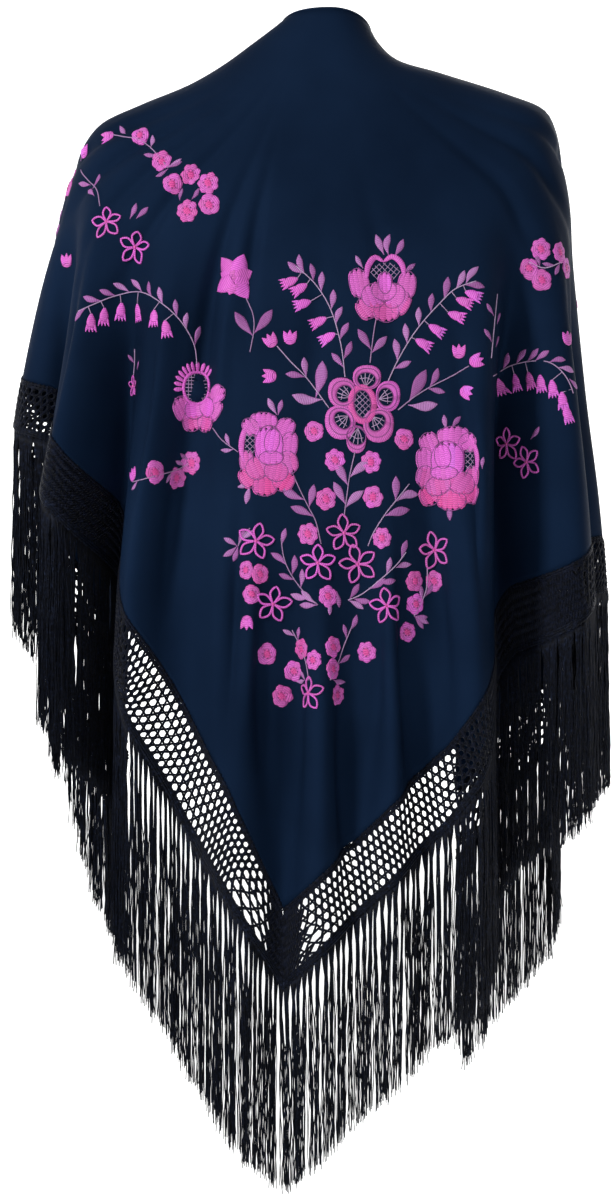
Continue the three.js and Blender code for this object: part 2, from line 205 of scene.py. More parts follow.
def ring_half(ring, side):
    """One side of a ring: its points and how far along each is, from 0 at the back to 1."""
    left, right, back, front, z_left, z_right, z_back, z_front, square, edge_l, edge_r = ring
    angle = np.radians(np.linspace(0, edge_l if side < 0 else edge_r, RING_STEPS))
    s, c = np.sin(angle), np.cos(angle)
    z_side = z_left if side < 0 else z_right
    tilt, sag = (z_back - z_front) / 2, (z_back + z_front) / 2 - z_side
    points = np.stack([
        side * (left if side < 0 else right) * np.abs(s) ** square,
        -np.sign(c) * np.where(c > 0, back, front) * np.abs(c) ** square,
        z_side + tilt * c + sag * c * c,
    ], axis=1)
    along = along_line(points)
    return points, along / along[-1]


def on_ring(halves, at):
    """The points of a ring at places around, before any fold."""
    out = np.empty((len(at), 3))
    for side, chosen in ((-1, at < 0), (1, at >= 0)):
        points, along = halves[side]
        for axis in range(3):
            out[chosen, axis] = np.interp(np.abs(at[chosen]), along, points[:, axis])
    return out


def fold_depth(at, z):
    """How far the folds move the cloth outwards."""
    depth = np.zeros_like(at)
    for _, place, low, wide, deep, start, full in FOLDS:
        t = np.clip((FOLD_AT_Z - z) / (FOLD_AT_Z - FOLD_LOW_Z), 0, 1)
        off = np.abs(at - (place + (low - place) * t)) / wide
        shape = np.exp(-off * off * FOLD_STEEP) * smooth(FOLD_REACH - off)
        depth += deep * shape * smooth((start - z) / (start - full))
    return depth


def folded_ring(ring, at):
    """The points of a ring with the folds pushed into it."""
    halves = {side: ring_half(ring, side) for side in (-1, 1)}
    points = on_ring(halves, at)
    run = on_ring(halves, np.minimum(1, at + BESIDE)) - on_ring(halves, np.maximum(-1, at - BESIDE))
    out = unit(np.stack([run[:, 1], -run[:, 0]], axis=1))
    points[:, :2] += out * fold_depth(at, points[:, 2])[:, None]
    return points


def curve_down(rings, steps):
    """Smooth lines through the rings, with steps points from each ring to the next."""
    p = np.concatenate([2 * rings[:1] - rings[1:2], rings, 2 * rings[-1:] - rings[-2:-1]])
    gap = np.sum(np.diff(p, axis=0) ** 2, axis=2, keepdims=True) ** 0.25
    rows = []
    for k in range(len(rings) - 1):
        a, b, c, d = p[k:k + 4]
        g0, g1, g2 = gap[k:k + 3]
        m1 = ((b - a) / g0 - (c - a) / (g0 + g1) + (c - b) / g1) * g1
        m2 = ((c - b) / g1 - (d - b) / (g1 + g2) + (d - c) / g2) * g1
        for t in np.arange(steps) / steps:
            rows.append(b + m1 * t + (3 * (c - b) - 2 * m1 - m2) * t * t
                        + (2 * (b - c) + m1 + m2) * t ** 3)
    return np.array(rows + [rings[-1]])


def facing(grid):
    """Which way a grid[row, column] of cloth points faces, outwards."""
    return unit(np.cross(np.gradient(grid, axis=0), np.gradient(grid, axis=1)))


def creased(grid, at):
    """The grid with the soft creases pressed into it."""
    depth = np.zeros(grid.shape[:2])
    around, z = at[None, :] * CREASE_SPAN, grid[:, :, 2]
    for place, middle, length, lean, wide, deep in CREASES:
        s, h = around - place * CREASE_SPAN, z - middle
        c, n = math.cos(math.radians(lean)), math.sin(math.radians(lean))
        run, off = s * n + h * c, s * c - h * n
        depth += deep * np.exp(-(off / wide) ** 2) * np.exp(-(2 * run / length) ** 2 * 2)
    return grid + facing(grid) * depth[:, :, None]


AT = np.linspace(-1, 1, PLACES)
CLOTH = creased(curve_down(np.array([folded_ring(r, AT) for r in RINGS]), ROWS_A_RING), AT)
OUT = facing(CLOTH)
DOWN = np.concatenate([np.zeros((1, len(AT))), np.cumsum(
    np.linalg.norm(np.diff(CLOTH, axis=0), axis=2), axis=0)])


def hem_row(column):
    """A column of the hem table at every place around."""
    table = np.array(HEM)
    return np.interp(AT, table[:, 0], table[:, column])


def distance_at(z):
    """How far down each line of cloth it passes a height."""
    return np.array([np.interp(-z[i], -CLOTH[:, i, 2], DOWN[:, i]) for i in range(len(AT))])


HEM_DOWN = distance_at(hem_row(1))
NET_DOWN = distance_at(hem_row(1) - hem_row(2))
FRINGE_LONG = hem_row(3)


def strip(start, end, rows):
    """The cloth surface between two distances down each line: points and facing."""
    share = np.linspace(0, 1, rows)[:, None]
    wanted = start[None, :] + (end - start)[None, :] * share
    points, out = np.empty((rows, len(AT), 3)), np.empty((rows, len(AT), 3))
    for i in range(len(AT)):
        for axis in range(3):
            points[:, i, axis] = np.interp(wanted[:, i], DOWN[:, i], CLOTH[:, i, axis])
            out[:, i, axis] = np.interp(wanted[:, i], DOWN[:, i], OUT[:, i, axis])
    return points, unit(out)


def sample(grid, row, at):
    """Values of a grid between its rows and places."""
    row = np.clip(np.asarray(row, float), 0, grid.shape[0] - 1.0001)
    col = np.clip((np.asarray(at, float) + 1) / 2 * (len(AT) - 1), 0, len(AT) - 1.0001)
    i, j = row.astype(int), col.astype(int)
    f, g = (row - i)[..., None], (col - j)[..., None]
    top = grid[i, j] * (1 - g) + grid[i, j + 1] * g
    low = grid[i + 1, j] * (1 - g) + grid[i + 1, j + 1] * g
    return top * (1 - f) + low * f


# Materials

WAVE_REPEATS = 3.1     # about how often a wave texture repeats in one unit at a scale of 1
WEFT_SCALE = 1 / 2.4   # sets the crepe's ribs 0.75 mm apart


def colour(text):
    """A colour written as sRGB hex, in the linear values that the shader takes."""
    parts = [int(text[i:i + 2], 16) / 255 for i in (1, 3, 5)]
    return [p / 12.92 if p <= 0.04045 else ((p + 0.055) / 1.055) ** 2.4 for p in parts] + [1]


def add_node(tree, kind, settings=None, links=None, stops=(), **values):
    """A node with its settings, its sockets' values by name, its links from other outputs and,
    for a colour ramp, its stops of place and colour."""
    node = tree.nodes.new(kind)
    for name, value in (settings or {}).items():
        setattr(node, name, value)
    for name, value in values.items():
        node.inputs[name.replace("_", " ")].default_value = value
    for name, output in (links or {}).items():
        tree.links.new(output, node.inputs[name])
    for _ in stops[2:]:
        node.color_ramp.elements.new(0.5)
    for k, (place, tone) in enumerate(stops):
        node.color_ramp.elements[k].position = place
        node.color_ramp.elements[k].color = colour(tone)
    return node


def new_material(name, base, roughness, **values):
    """A material with its base colour, roughness and other values set on its shader."""
    material = bpy.data.materials.new(name)
    material.use_nodes = True
    shader = material.node_tree.nodes["Principled BSDF"]
    shader.inputs["Base Color"].default_value = colour(base)
    shader.inputs["Roughness"].default_value = roughness
    for socket, value in values.items():
        shader.inputs[socket.replace("_", " ")].default_value = value
    return material, material.node_tree, shader


def crepe():
    """Crepe woven of hard-twisted threads 0.2 mm thick: blue black and dull, pebbly, with a
    faint navy lustre where it turns to the light. The dye is a little uneven, in patches about
    140 mm wide. The pebble is drawn 5 times as coarse, at 1 mm, and the weft's ribs at 0.75 mm,
    to show at all."""
    material, tree, shader = new_material(
        "blue black crepe, woven", "#0c1729", 0.64, IOR=1.46, Specular_IOR_Level=0.06,
        Specular_Tint=colour("#5f8fd6"))
    uv = add_node(tree, "ShaderNodeTexCoord").outputs["UV"]
    place = add_node(tree, "ShaderNodeTexCoord").outputs["Object"]
    cloudy = add_node(tree, "ShaderNodeTexNoise", links={"Vector": place}, Scale=7.0, Detail=3.0)
    tones = add_node(tree, "ShaderNodeValToRGB", links={"Fac": cloudy.outputs["Fac"]},
                     stops=[(0.3, "#0b1729"), (0.75, "#112036")])
    tree.links.new(tones.outputs["Color"], shader.inputs["Base Color"])
    pebble = add_node(tree, "ShaderNodeTexNoise", links={"Vector": place}, Scale=1000.0, Detail=2.0)
    weft = add_node(tree, "ShaderNodeTexWave", {"bands_direction": "Y"}, {"Vector": uv},
                    Scale=WEFT_SCALE, Distortion=1.5)
    height = add_node(tree, "ShaderNodeMath", {"operation": "MULTIPLY_ADD"},
                      {0: weft.outputs["Fac"], 2: pebble.outputs["Fac"]})
    height.inputs[1].default_value = 0.35
    bump = add_node(tree, "ShaderNodeBump", links={"Height": height.outputs[0]},
                    Strength=0.35, Distance=0.4 * MM)
    tree.links.new(bump.outputs["Normal"], shader.inputs["Normal"])
    return material


def satin_thread(name, stops, roughness, stitch_mm):
    """Rayon floss laid side by side in satin stitch: bright, with painted sheen and shade in
    streaks along the threads, which lighten and darken its colour. A thread is 0.4 mm; stitch_mm
    is the width it is drawn at so that it shows. Each motif's own tone, from 0 to 1, picks its dye lot."""
    material, tree, shader = new_material(
        name, stops[1][1], roughness, IOR=1.5, Sheen_Weight=0.06, Sheen_Roughness=0.3,
        Specular_IOR_Level=0.3)
    uv = add_node(tree, "ShaderNodeTexCoord").outputs["UV"]
    tone = add_node(tree, "ShaderNodeAttribute", {"attribute_name": "tone"})
    threads = add_node(tree, "ShaderNodeTexWave", {"bands_direction": "X"}, {"Vector": uv},
                       Scale=1 / stitch_mm / WAVE_REPEATS, Distortion=1.2, Detail=1.0)
    tones = add_node(tree, "ShaderNodeValToRGB", links={"Fac": tone.outputs["Fac"]}, stops=stops)
    # Painted sheen and shade: the threads' wave lightens and darkens the colour in streaks, besides giving
    # the bump
    painted_sheen_and_shade = add_node(tree, "ShaderNodeMapRange", links={"Value": threads.outputs["Fac"]},
                     To_Min=0.64, To_Max=1.02)
    streaked = add_node(tree, "ShaderNodeVectorMath", {"operation": "SCALE"},
                        {"Vector": tones.outputs["Color"], "Scale": painted_sheen_and_shade.outputs["Result"]})
    tree.links.new(streaked.outputs["Vector"], shader.inputs["Base Color"])
    bump = add_node(tree, "ShaderNodeBump", links={"Height": threads.outputs["Fac"]},
                    Strength=0.7, Distance=0.5 * MM)
    tree.links.new(bump.outputs["Normal"], shader.inputs["Normal"])
    return material


def twisted_thread(name, stops):
    """Twisted rayon cord of the net and fringe: blue black, with a painted lustre, lighter flecks
    in its colour that break up along the twist, and bumps from the same flecks. The twist is 1 mm long,
    and is drawn at 3 mm."""
    material, tree, shader = new_material(
        name, stops[0][1], 0.55, IOR=1.5, Sheen_Weight=0.03, Sheen_Roughness=0.4,
        Specular_IOR_Level=0.08)
    place = add_node(tree, "ShaderNodeTexCoord").outputs["Object"]
    twist_bumps_and_lustre = add_node(tree, "ShaderNodeTexNoise", links={"Vector": place}, Scale=330.0, Detail=1.0)
    # Painted lustre: the noise lightens the cord's colour in flecks
    tones = add_node(tree, "ShaderNodeValToRGB", links={"Fac": twist_bumps_and_lustre.outputs["Fac"]}, stops=stops)
    tree.links.new(tones.outputs["Color"], shader.inputs["Base Color"])
    bump = add_node(tree, "ShaderNodeBump", links={"Height": twist_bumps_and_lustre.outputs["Fac"]},
                    Strength=0.5, Distance=0.4 * MM)
    tree.links.new(bump.outputs["Normal"], shader.inputs["Normal"])
    return material


def floor_paint():
    """Matt white studio paint. It glows a little, in place of lamps aimed at it."""
    return new_material("studio floor, matt white", "#f4f4f4", 0.9,
                        Emission_Color=colour("#ffffff"), Emission_Strength=0.35)[0]


def lit_paper():
    """White backdrop paper. It glows evenly, in place of lamps aimed at it."""
    return new_material("studio backdrop, lit white paper", "#ffffff", 0.9,
                        Emission_Color=colour("#ffffff"), Emission_Strength=0.75)[0]


CREPE = crepe()
BLOSSOM = satin_thread("rose pink rayon floss, satin stitch", [
    (0.0, "#db4a9b"), (0.3, "#cf62b8"), (0.62, "#e266d6"), (0.85, "#d674e6"), (1.0, "#e8a4f0")],
    0.5, 2.0)
LEAF = satin_thread("dusty mauve rayon floss, satin stitch", [
    (0.0, "#7d3c78"), (0.5, "#a964aa"), (1.0, "#c28fc8")], 0.5, 1.8)
STEM = satin_thread("pale mauve rayon floss, stem stitch", [
    (0.0, "#8a6290"), (0.5, "#ae8ab6"), (1.0, "#c6acd0")], 0.5, 1.5)
# The lighter stops are painted lustre; the fringe's lightest stop, at 0.8, paints small glints
NET = twisted_thread("blue black rayon cord, knotted", [(0.35, "#04060d"), (0.75, "#0e1425")])
FRINGE = twisted_thread("blue black rayon thread, twisted", [
    (0.35, "#04060d"), (0.66, "#0d1322"), (0.8, "#20293f")])


# Making closed pieces

class Sewn:
    """Closed little solids gathered into one piece."""

    def __init__(self):
        self.points, self.faces, self.uvs, self.tones = [], [], [], []

    def add(self, points, faces, uv=None, tone=0.5):
        """One more solid, with its threads' direction in uv, in mm, and its own tone."""
        start = len(self.points)
        self.points.extend(np.asarray(points).tolist())
        self.faces.extend([tuple(start + i for i in face) for face in faces])
        self.uvs.extend(np.asarray(uv).tolist() if uv is not None else [[0, 0]] * len(points))
        self.tones.extend([tone] * len(points))

    def piece(self, name, material, slot, replaced=()):
        """The whole piece as a mesh, with its material and the solids that it stands for."""
        mesh = bpy.data.meshes.new(name)
        mesh.from_pydata((np.array(self.points) * MM).tolist(), [], self.faces)
        mesh.validate()
        uv = mesh.uv_layers.new(name="UVMap")
        of_corner = np.array(self.uvs)[[loop.vertex_index for loop in mesh.loops]]
        uv.data.foreach_set("uv", of_corner.astype(np.float32).ravel())
        tone = mesh.attributes.new("tone", "FLOAT", "POINT")
        tone.data.foreach_set("value", np.array(self.tones, np.float32))
        mesh.polygons.foreach_set("use_smooth", [True] * len(mesh.polygons))
        mesh.materials.append(material)
        made = bpy.data.objects.new(name, mesh)
        bpy.context.collection.objects.link(made)
        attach(made, "root")
        if replaced:
            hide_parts(*replaced)
        return made


def tube(sewn, path, radius, sides=4, tone=0.5, end_radius=None):
    """A closed tube along a path, with square ends."""
    path = np.asarray(path, float)
    run = unit(np.gradient(path, axis=0))
    side = unit(np.cross(run, [0.0, 1.0, 0.0] if abs(run[0][1]) < 0.8 else [1.0, 0.0, 0.0]))
    up = np.cross(side, run)
    radii = np.linspace(radius, radius if end_radius is None else end_radius, len(path))
    angle = np.arange(sides) * 2 * math.pi / sides
    round_it = side[:, None] * np.cos(angle)[:, None] + up[:, None] * np.sin(angle)[:, None]
    rings = path[:, None] + radii[:, None, None] * round_it
    n = len(path)
    faces = [(i * sides + k, i * sides + (k + 1) % sides, (i + 1) * sides + (k + 1) % sides,
              (i + 1) * sides + k) for i in range(n - 1) for k in range(sides)]
    faces += [tuple(range(sides))[::-1], tuple((n - 1) * sides + k for k in range(sides))]
    uv = np.stack([np.repeat(along_line(path), sides), np.tile(angle * radius, n)], axis=1)
    sewn.add(rings.reshape(-1, 3), faces, uv, tone)


def bead_shape():
    """A ball of 14 points and 24 faces, for knots."""
    corners = [(x, y, z) for x in (-1, 1) for y in (-1, 1) for z in (-1, 1)]
    tips = [(1, 0, 0), (-1, 0, 0), (0, 1, 0), (0, -1, 0), (0, 0, 1), (0, 0, -1)]
    points = np.array([np.array(c) / math.sqrt(3) for c in corners] + [np.array(t) for t in tips])
    faces = []
    for t, tip in enumerate(tips):
        axis = np.argmax(np.abs(tip))
        near = [c for c in range(8) if corners[c][axis] == tip[axis]]
        middle = np.array(tip, float)
        a = np.array(corners[near[0]]) - middle
        b = np.cross(middle, a)
        near.sort(key=lambda c: math.atan2((np.array(corners[c]) - middle) @ b,
                                           (np.array(corners[c]) - middle) @ a))
        faces += [(8 + t, near[k], near[(k + 1) % 4]) for k in range(4)]
    return points, faces


BEAD_POINTS, BEAD_FACES = bead_shape()


def knot(sewn, middle, across, out, size, tall=1.0, tone=0.5):
    """A knot: a ball somewhat flat against the cloth, and a little taller or shorter along it."""
    along = np.cross(out, across)
    points = (middle + BEAD_POINTS[:, :1] * across * size + BEAD_POINTS[:, 1:2] * out * size * 0.8
              + BEAD_POINTS[:, 2:] * along * size * tall)
    sewn.add(points, BEAD_FACES, BEAD_POINTS[:, :2] * size, tone)


def row_of_knots(sewn, points, out, size, tall):
    """Knots along a line of points, each turned to follow it."""
    for k in range(len(points)):
        beside = points[min(k + 1, len(points) - 1)] - points[max(k - 1, 0)]
        across = unit(np.cross(out[k], np.cross(beside, out[k])))
        knot(sewn, points[k], across, out[k], size * chance.uniform(0.87, 1.17), tall)


# The cloth

CLOTH_THICK = 1.0
COLUMNS, ROWS = 480, 92
CUT_WIDE, CUT_TALL = 1860, 930     # half a square, cut on its long diagonal
HEM_ROLL = 1.4                     # radius of the rolled hem
# The shell's columns: the row whose length around spaces them, the least step, and the middle,
# half width and fineness of the stitched back
SPACED_ROW, LEAST_STEP = 220, 0.35
BACK_MIDDLE, BACK_HALF, BACK_FINER = -0.03, 0.33, 1.5


def shawl_cloth():
    """The crepe panel: a thin shell over the folds, down to the edge that the net is tied into."""
    points, out = strip(np.zeros(len(AT)), HEM_DOWN, ROWS)
    step = np.linalg.norm(np.diff(CLOTH[SPACED_ROW], axis=0), axis=1) + LEAST_STEP
    step *= np.where(np.abs(AT[1:] - BACK_MIDDLE) < BACK_HALF, BACK_FINER, 1)
    share = np.concatenate([[0], np.cumsum(step)]) / np.sum(step)
    places = np.interp(np.linspace(0, 1, COLUMNS), share, AT)
    rows = np.arange(ROWS)
    outer = sample(points, rows[:, None], places[None, :])
    inner = outer - sample(out, rows[:, None], places[None, :]) * CLOTH_THICK
    width, tall = np.linspace(0, CUT_WIDE, COLUMNS), np.linspace(0, CUT_TALL, ROWS)
    uv = np.stack(np.broadcast_arrays(width[None, :], tall[:, None]), axis=2).reshape(-1, 2)
    n = ROWS * COLUMNS
    i, j = np.meshgrid(np.arange(ROWS - 1), np.arange(COLUMNS - 1), indexing="ij")
    a = (i * COLUMNS + j).ravel()
    front = np.stack([a, a + COLUMNS, a + COLUMNS + 1, a + 1], axis=1)
    edge = list(range(COLUMNS)) + [r * COLUMNS + COLUMNS - 1 for r in range(1, ROWS)]
    edge += [n - 1 - k for k in range(1, COLUMNS)] + [r * COLUMNS for r in range(ROWS - 2, 0, -1)]
    rim = [(edge[k], edge[(k + 1) % len(edge)], n + edge[(k + 1) % len(edge)], n + edge[k])
           for k in range(len(edge))]
    sewn = Sewn()
    sewn.add(np.concatenate([outer.reshape(-1, 3), inner.reshape(-1, 3)]),
             front.tolist() + (front[:, ::-1] + n).tolist() + rim, np.concatenate([uv, uv]))
    return sewn.piece("crepe_panel", CREPE, "crepe", ["cloth_panel"])


def rolled_hem():
    """The narrow roll along the shawl's long edge: up one front, round the neck and down."""
    points, out = strip(np.zeros(len(AT)), HEM_DOWN, ROWS)
    middle = points - out * CLOTH_THICK / 2
    sewn = Sewn()
    tube(sewn, middle[::-1, 0], HEM_ROLL, 6)
    tube(sewn, middle[0, ::8], HEM_ROLL, 6)
    tube(sewn, middle[:, -1], HEM_ROLL, 6)
    return sewn.piece("rolled_hem", CREPE, "crepe")


# The net and its knots

NET_PITCH = 8.5        # from one knot to the next along the edge
NET_BANDS = 6          # bands of knots between the running cords
NET_CORD = 1.2         # radius of a cord
NET_SPREAD = 2.4       # how far a knot's cords part by the time they meet the running cord
NET_KNOT = 1.95        # radius of a knot
# A running cord's step, and how far it strays as a share of the border's depth
CORD_STEP, CORD_STRAYS = 3.2, 0.004
NET_STARTS, NET_ENDS = 0.08, 0.89      # where the bands lie, as shares of the border's depth
# Rows of close knots along the cloth's edge and along the net's outer edge, with cords under
# them: share of the border's depth and radius of a knot, then the knots' pitch
TOP_ROWS, TOP_PITCH = [(0.02, 1.9), (0.06, 1.6)], 4.4
EDGE_ROWS, EDGE_PITCH = [(0.895, 1.9), (0.935, 2.2), (0.975, 2.1)], 4.2
CORNER_CLOSE = 27      # within this of the corner the net lies double
# Where the border turns in at a side and lies double: places around
TURNED_IN = [(-0.54, -0.365), (0.27, 0.44)]
# The net hangs square to the cloth's edge, whose slope is evened out over SLOPE_WIDE, and
# straight down near the corner and near the shawl's ends
SLOPE_WIDE, CALM_CORNER, CALM_END = 34.0, 30, 60


net_points, net_out = strip(HEM_DOWN, NET_DOWN, 25)
NET_ROWS = net_points.shape[0] - 1


def edge_length(row):
    """How far along the net each place is, at a row of its surface."""
    return along_line(net_points[row])


def square_across():
    """For each place on the cloth's edge, the place that lies square to it on the net's edge."""
    x, y, z = np.gradient(net_points[0], axis=0).T
    flat = np.hypot(x, y)
    slope = -z / flat
    reach = np.concatenate([[0], np.cumsum(flat)[:-1]])
    window = np.exp(-((reach[:, None] - reach[None, ::8]) / SLOPE_WIDE) ** 2)
    slope = (window @ slope[::8]) / window.sum(axis=1)
    shift = -slope / (1 + slope ** 2) * (NET_DOWN - HEM_DOWN)
    corner = np.interp(CORNER_AT, AT, reach)
    calm = smooth(np.abs(reach - corner) / CALM_CORNER)
    calm = calm * smooth(reach / CALM_END) * smooth((reach[-1] - reach) / CALM_END)
    there = np.maximum.accumulate(np.clip(reach + shift * calm, 0, reach[-1]))
    return np.interp(there, reach, AT)


ACROSS_NET = square_across()


def net_place(along, deep):
    """A place on the net: along the cloth's edge in mm and from 0 to 1 across the net."""
    hem_at = np.interp(along, edge_length(0), AT)
    at = hem_at + (np.interp(hem_at, AT, ACROSS_NET) - hem_at) * deep
    row = np.clip(deep, 0, 1) * NET_ROWS
    return sample(net_points, row, at), sample(net_out, row, at)


def running_cord(sewn, start, end, deep, radius):
    """A cord that runs the length of the net, a little wavy."""
    along = np.arange(start + 1, end - 1, CORD_STEP)
    points, _ = net_place(along, deep + chance.normal(0, CORD_STRAYS, len(along)))
    tube(sewn, points, radius)


def knotted_band(sewn, along, top, low):
    """Knots in a row, each with two cords that cross in it and part again above and below."""
    middle = (top + low) / 2
    drift = chance.normal(0, 0.35, len(along))
    at_middle, out = net_place(along + drift, np.full(len(along), middle))
    ends = {(lean, deep): net_place(along + lean * NET_SPREAD, np.full(len(along), deep))[0]
            for lean in (-1, 1) for deep in (top, low)}
    for k in range(len(along)):
        for lean in (-1, 1):
            path = [ends[lean, top][k], at_middle[k] + out[k] * 0.5 * lean, ends[-lean, low][k]]
            tube(sewn, path, NET_CORD * chance.uniform(0.88, 1.15))
    row_of_knots(sewn, at_middle, out, NET_KNOT, 1.25)


def turned_in(along):
    """Whether the border lies double there."""
    at = np.interp(along, edge_length(0), AT)
    return np.any([(at > low) & (at < high) for low, high in TURNED_IN], axis=0)


def lay_net(side):
    """One side's net: bands of knots between running cords, from the cloth's edge down."""
    sewn = Sewn()
    length = edge_length(0)
    corner = np.interp(CORNER_AT, AT, length)
    start, end = (0, corner) if side < 0 else (corner, length[-1])
    count = round((end - start) / NET_PITCH)
    pitch = (end - start) / count
    deeps = np.linspace(NET_STARTS, NET_ENDS, NET_BANDS + 1)
    for k in range(NET_BANDS):
        along = start + (np.arange(count) + 0.25 + 0.5 * (k % 2)) * pitch
        along = along + chance.normal(0, 0.3, count)
        knotted_band(sewn, along, deeps[k], deeps[k + 1])
        close = along[(np.abs(along - corner) < CORNER_CLOSE) | turned_in(along)]
        extra = np.concatenate([close + pitch / 3, close - pitch / 3])
        extra = extra[(extra > start - 2) & (extra < end + 2)]
        if len(extra):
            knotted_band(sewn, extra, deeps[k], deeps[k + 1])
    for deep in deeps[:-1]:
        running_cord(sewn, start, end, deep, NET_CORD * 0.95)
    places = np.arange(start + 2, end - 2, TOP_PITCH)
    for deep, size in TOP_ROWS:
        running_cord(sewn, start, end, deep, size * 0.8)
        row_of_knots(sewn, *net_place(places, np.full(len(places), deep)), size, 1.2)
    name = "left" if side < 0 else "right"
    return sewn.piece(f"net_{name}", NET, "net", [f"net_border_{name}"])


# The fringe

LOCK_PITCH = 10.0      # from one bunch of threads to the next
THREADS = 14           # threads in a bunch, and half as many again where the fringe lies close
LIES_CLOSE = [(-0.66, -0.4), (0.3, 0.66)]      # the places around where it does so
THREAD_RADIUS = 0.68
ROOT_DEEP = 0.985      # where threads are rooted, as a share of the border's depth
GATHERED = 0.10        # share of the length by which a bunch has drawn together
DRAWN, DRAWN_CLOSE = 0.6, 0.3      # how far a thread is drawn to its bunch, and so in close fringe
# How far bunches and threads stray from plumb, in mm
BUNCH_STRAYS, BUNCH_SWINGS = 0.9, 2.2
THREAD_DRIFTS, THREAD_STANDS_OUT, THREAD_CRINKLES, THREAD_FALLS_SHORT = 2.4, 1.9, 0.55, 3.0

# Stretches of fringe: name, and the places around at which it starts and ends
STRETCHES = [
    ("fringe_front_left", -1, -0.8),
    ("fringe_arm_left", -0.8, -0.35),
    ("fringe_back_left", -0.35, CORNER_AT),
    ("fringe_back_right", CORNER_AT, 0.28),
    ("fringe_arm_right", 0.28, 0.8),
    ("fringe_front_right", 0.8, 1),
]


def close_knots(sewn, start, end):
    """The net's thick outer edge: three rows of close knots over running cords."""
    at = np.interp(np.arange(start + 1.5, end, EDGE_PITCH), edge_length(-1), AT)
    for deep, size in EDGE_ROWS:
        row = np.full(len(at), deep * NET_ROWS)
        points, out = sample(net_points, row, at), sample(net_out, row, at)
        tube(sewn, points, size * 0.9)
        row_of_knots(sewn, points, out, size, 1.15)


def hang_thread(sewn, at, middle, close, stray, swing):
    """One thread, crinkled by its twist, that leans towards the middle of its bunch and then
    drifts away on its own."""
    last = np.array([ROOT_DEEP * NET_ROWS])
    root = sample(net_points, last, np.array([at]))[0]
    out = unit(sample(net_out, last, np.array([at]))[0] * [1, 1, 0])
    across = np.array([-out[1], out[0], 0])
    draw = (middle - root) @ across * (DRAWN_CLOSE if close else DRAWN) + stray
    drift = swing + chance.normal(0, THREAD_DRIFTS)
    outwards = chance.normal(0, THREAD_STANDS_OUT)
    wave, phase = chance.uniform(0.3, 1.3), chance.uniform(0, 6.3)
    long = np.interp(at, AT, FRINGE_LONG)
    long = long * chance.uniform(0.955, 1.0) - abs(chance.normal(0, THREAD_FALLS_SHORT))
    t = np.concatenate([[0, GATHERED / 2], np.linspace(GATHERED, 1, 11)])
    crinkle = chance.normal(0, THREAD_CRINKLES, (len(t), 2)) * np.minimum(t * 5, 1)[:, None]
    sideways = np.interp(t, [0, GATHERED, 0.45, 1], [0, draw, (draw + drift) / 2, drift])
    sideways = sideways + wave * np.sin(phase + t * 11) * t + crinkle[:, 0]
    path = (root + across * sideways[:, None] + out * (outwards * t + crinkle[:, 1])[:, None]
            - np.array([0, 0, 1.0]) * (t * long)[:, None])
    tube(sewn, path, THREAD_RADIUS * chance.uniform(0.8, 1.2), 3, 0.5, THREAD_RADIUS * 0.7)


def hang_fringe(name, start_at, end_at):
    """A stretch of fringe: close knots, and the bunches of threads that hang from them."""
    sewn = Sewn()
    length = edge_length(-1)
    start, end = np.interp([start_at, end_at], AT, length)
    close_knots(sewn, start, end)
    count = round((end - start) / LOCK_PITCH)
    pitch = (end - start) / count
    for k in range(count):
        stray, swing = chance.normal(0, BUNCH_STRAYS), chance.normal(0, BUNCH_SWINGS)
        middle_at = np.interp(start + (k + 0.5) * pitch, length, AT)
        middle = sample(net_points, np.array([ROOT_DEEP * NET_ROWS]), np.array([middle_at]))[0]
        close = any(low < middle_at < high for low, high in LIES_CLOSE)
        threads = THREADS * 3 // 2 if close else THREADS
        for n in range(threads):
            at = np.interp(start + (k + (n + 0.5) / threads) * pitch, length, AT)
            hang_thread(sewn, at, middle, close, stray, swing)
    return sewn.piece(name + "_threads", FRINGE, "fringe", [name])


# Embroidery
#
# Motifs are placed where they are seen from behind at 3 m: x to the right of the nape and z
# above it, in millimetres at the back of the shawl. Each is then laid on the cloth at its size.

BACK_Y = -100          # the plane of the shawl's back
VIEW_DISTANCE = 3000   # from the eye to that plane
VIEW_X, VIEW_Z = -24.5, -540           # the middle of the view
AROUND_TO_MM, ROW_TO_MM = 600, 4       # rough lengths of one place around and of one row
STEP_ROW, STEP_AT = 0.5, 0.002         # how far to either side of a place its slopes are read
# Of the cloth seen at a point, the layer nearest the eye counts: in mm, how near to the point
# the cloth has to be, and how much deeper than the nearest it may lie
SEEN_NEAR, SEEN_DEEPER = 3, 25

# Large flowers: x and z of each middle
CENTRE = (32.5, -344)
TOP_ROSE = (52, -227)
NET_ROSE = (-130, -334)
TULIP = (-96, -218)

# Side roses: x, z, which way they face, width, height
SIDE_ROSES = [
    (-62, -393, 1, 57, 83),
    (117, -408, -1, 67, 81),
]

# Small round blossoms: x, z, width
ROSETTES = [
    (-190, -75, 17),
    (-168, -102, 19),
    (-158, -124, 19),
    (-139, -115, 19),
    (-122, -123, 20),
    (-143, -151, 20),
    (-121, -145, 20),
    (-175, -412, 20),
    (-154, -418, 19),
    (-138, -403, 20),
    (-16, -371, 18),
    (5, -400, 19),
    (41, -402, 19),
    (74, -379, 18),
    (-4, -439, 19),
    (43, -437, 19),
    (-22, -474, 19),
    (52, -478, 18),
    (-84, -510, 16),
    (-70, -514, 17),
    (-78, -534, 16),
    (-2, -536, 18),
    (-63, -594, 19),
    (-28, -589, 18),
    (-17, -600, 17),
    (-36, -611, 18),
    (3, -587, 18),
    (3, -609, 18),
    (36, -592, 18),
    (-49, -636, 19),
    (7, -635, 18),
    (85, -521, 18),
    (104, -521, 18),
    (86, -544, 18),
    (77, -572, 17),
    (211, -189, 19),
    (230, -192, 19),
    (199, -208, 18),
    (236, -208, 19),
    (212, -220, 19),
]

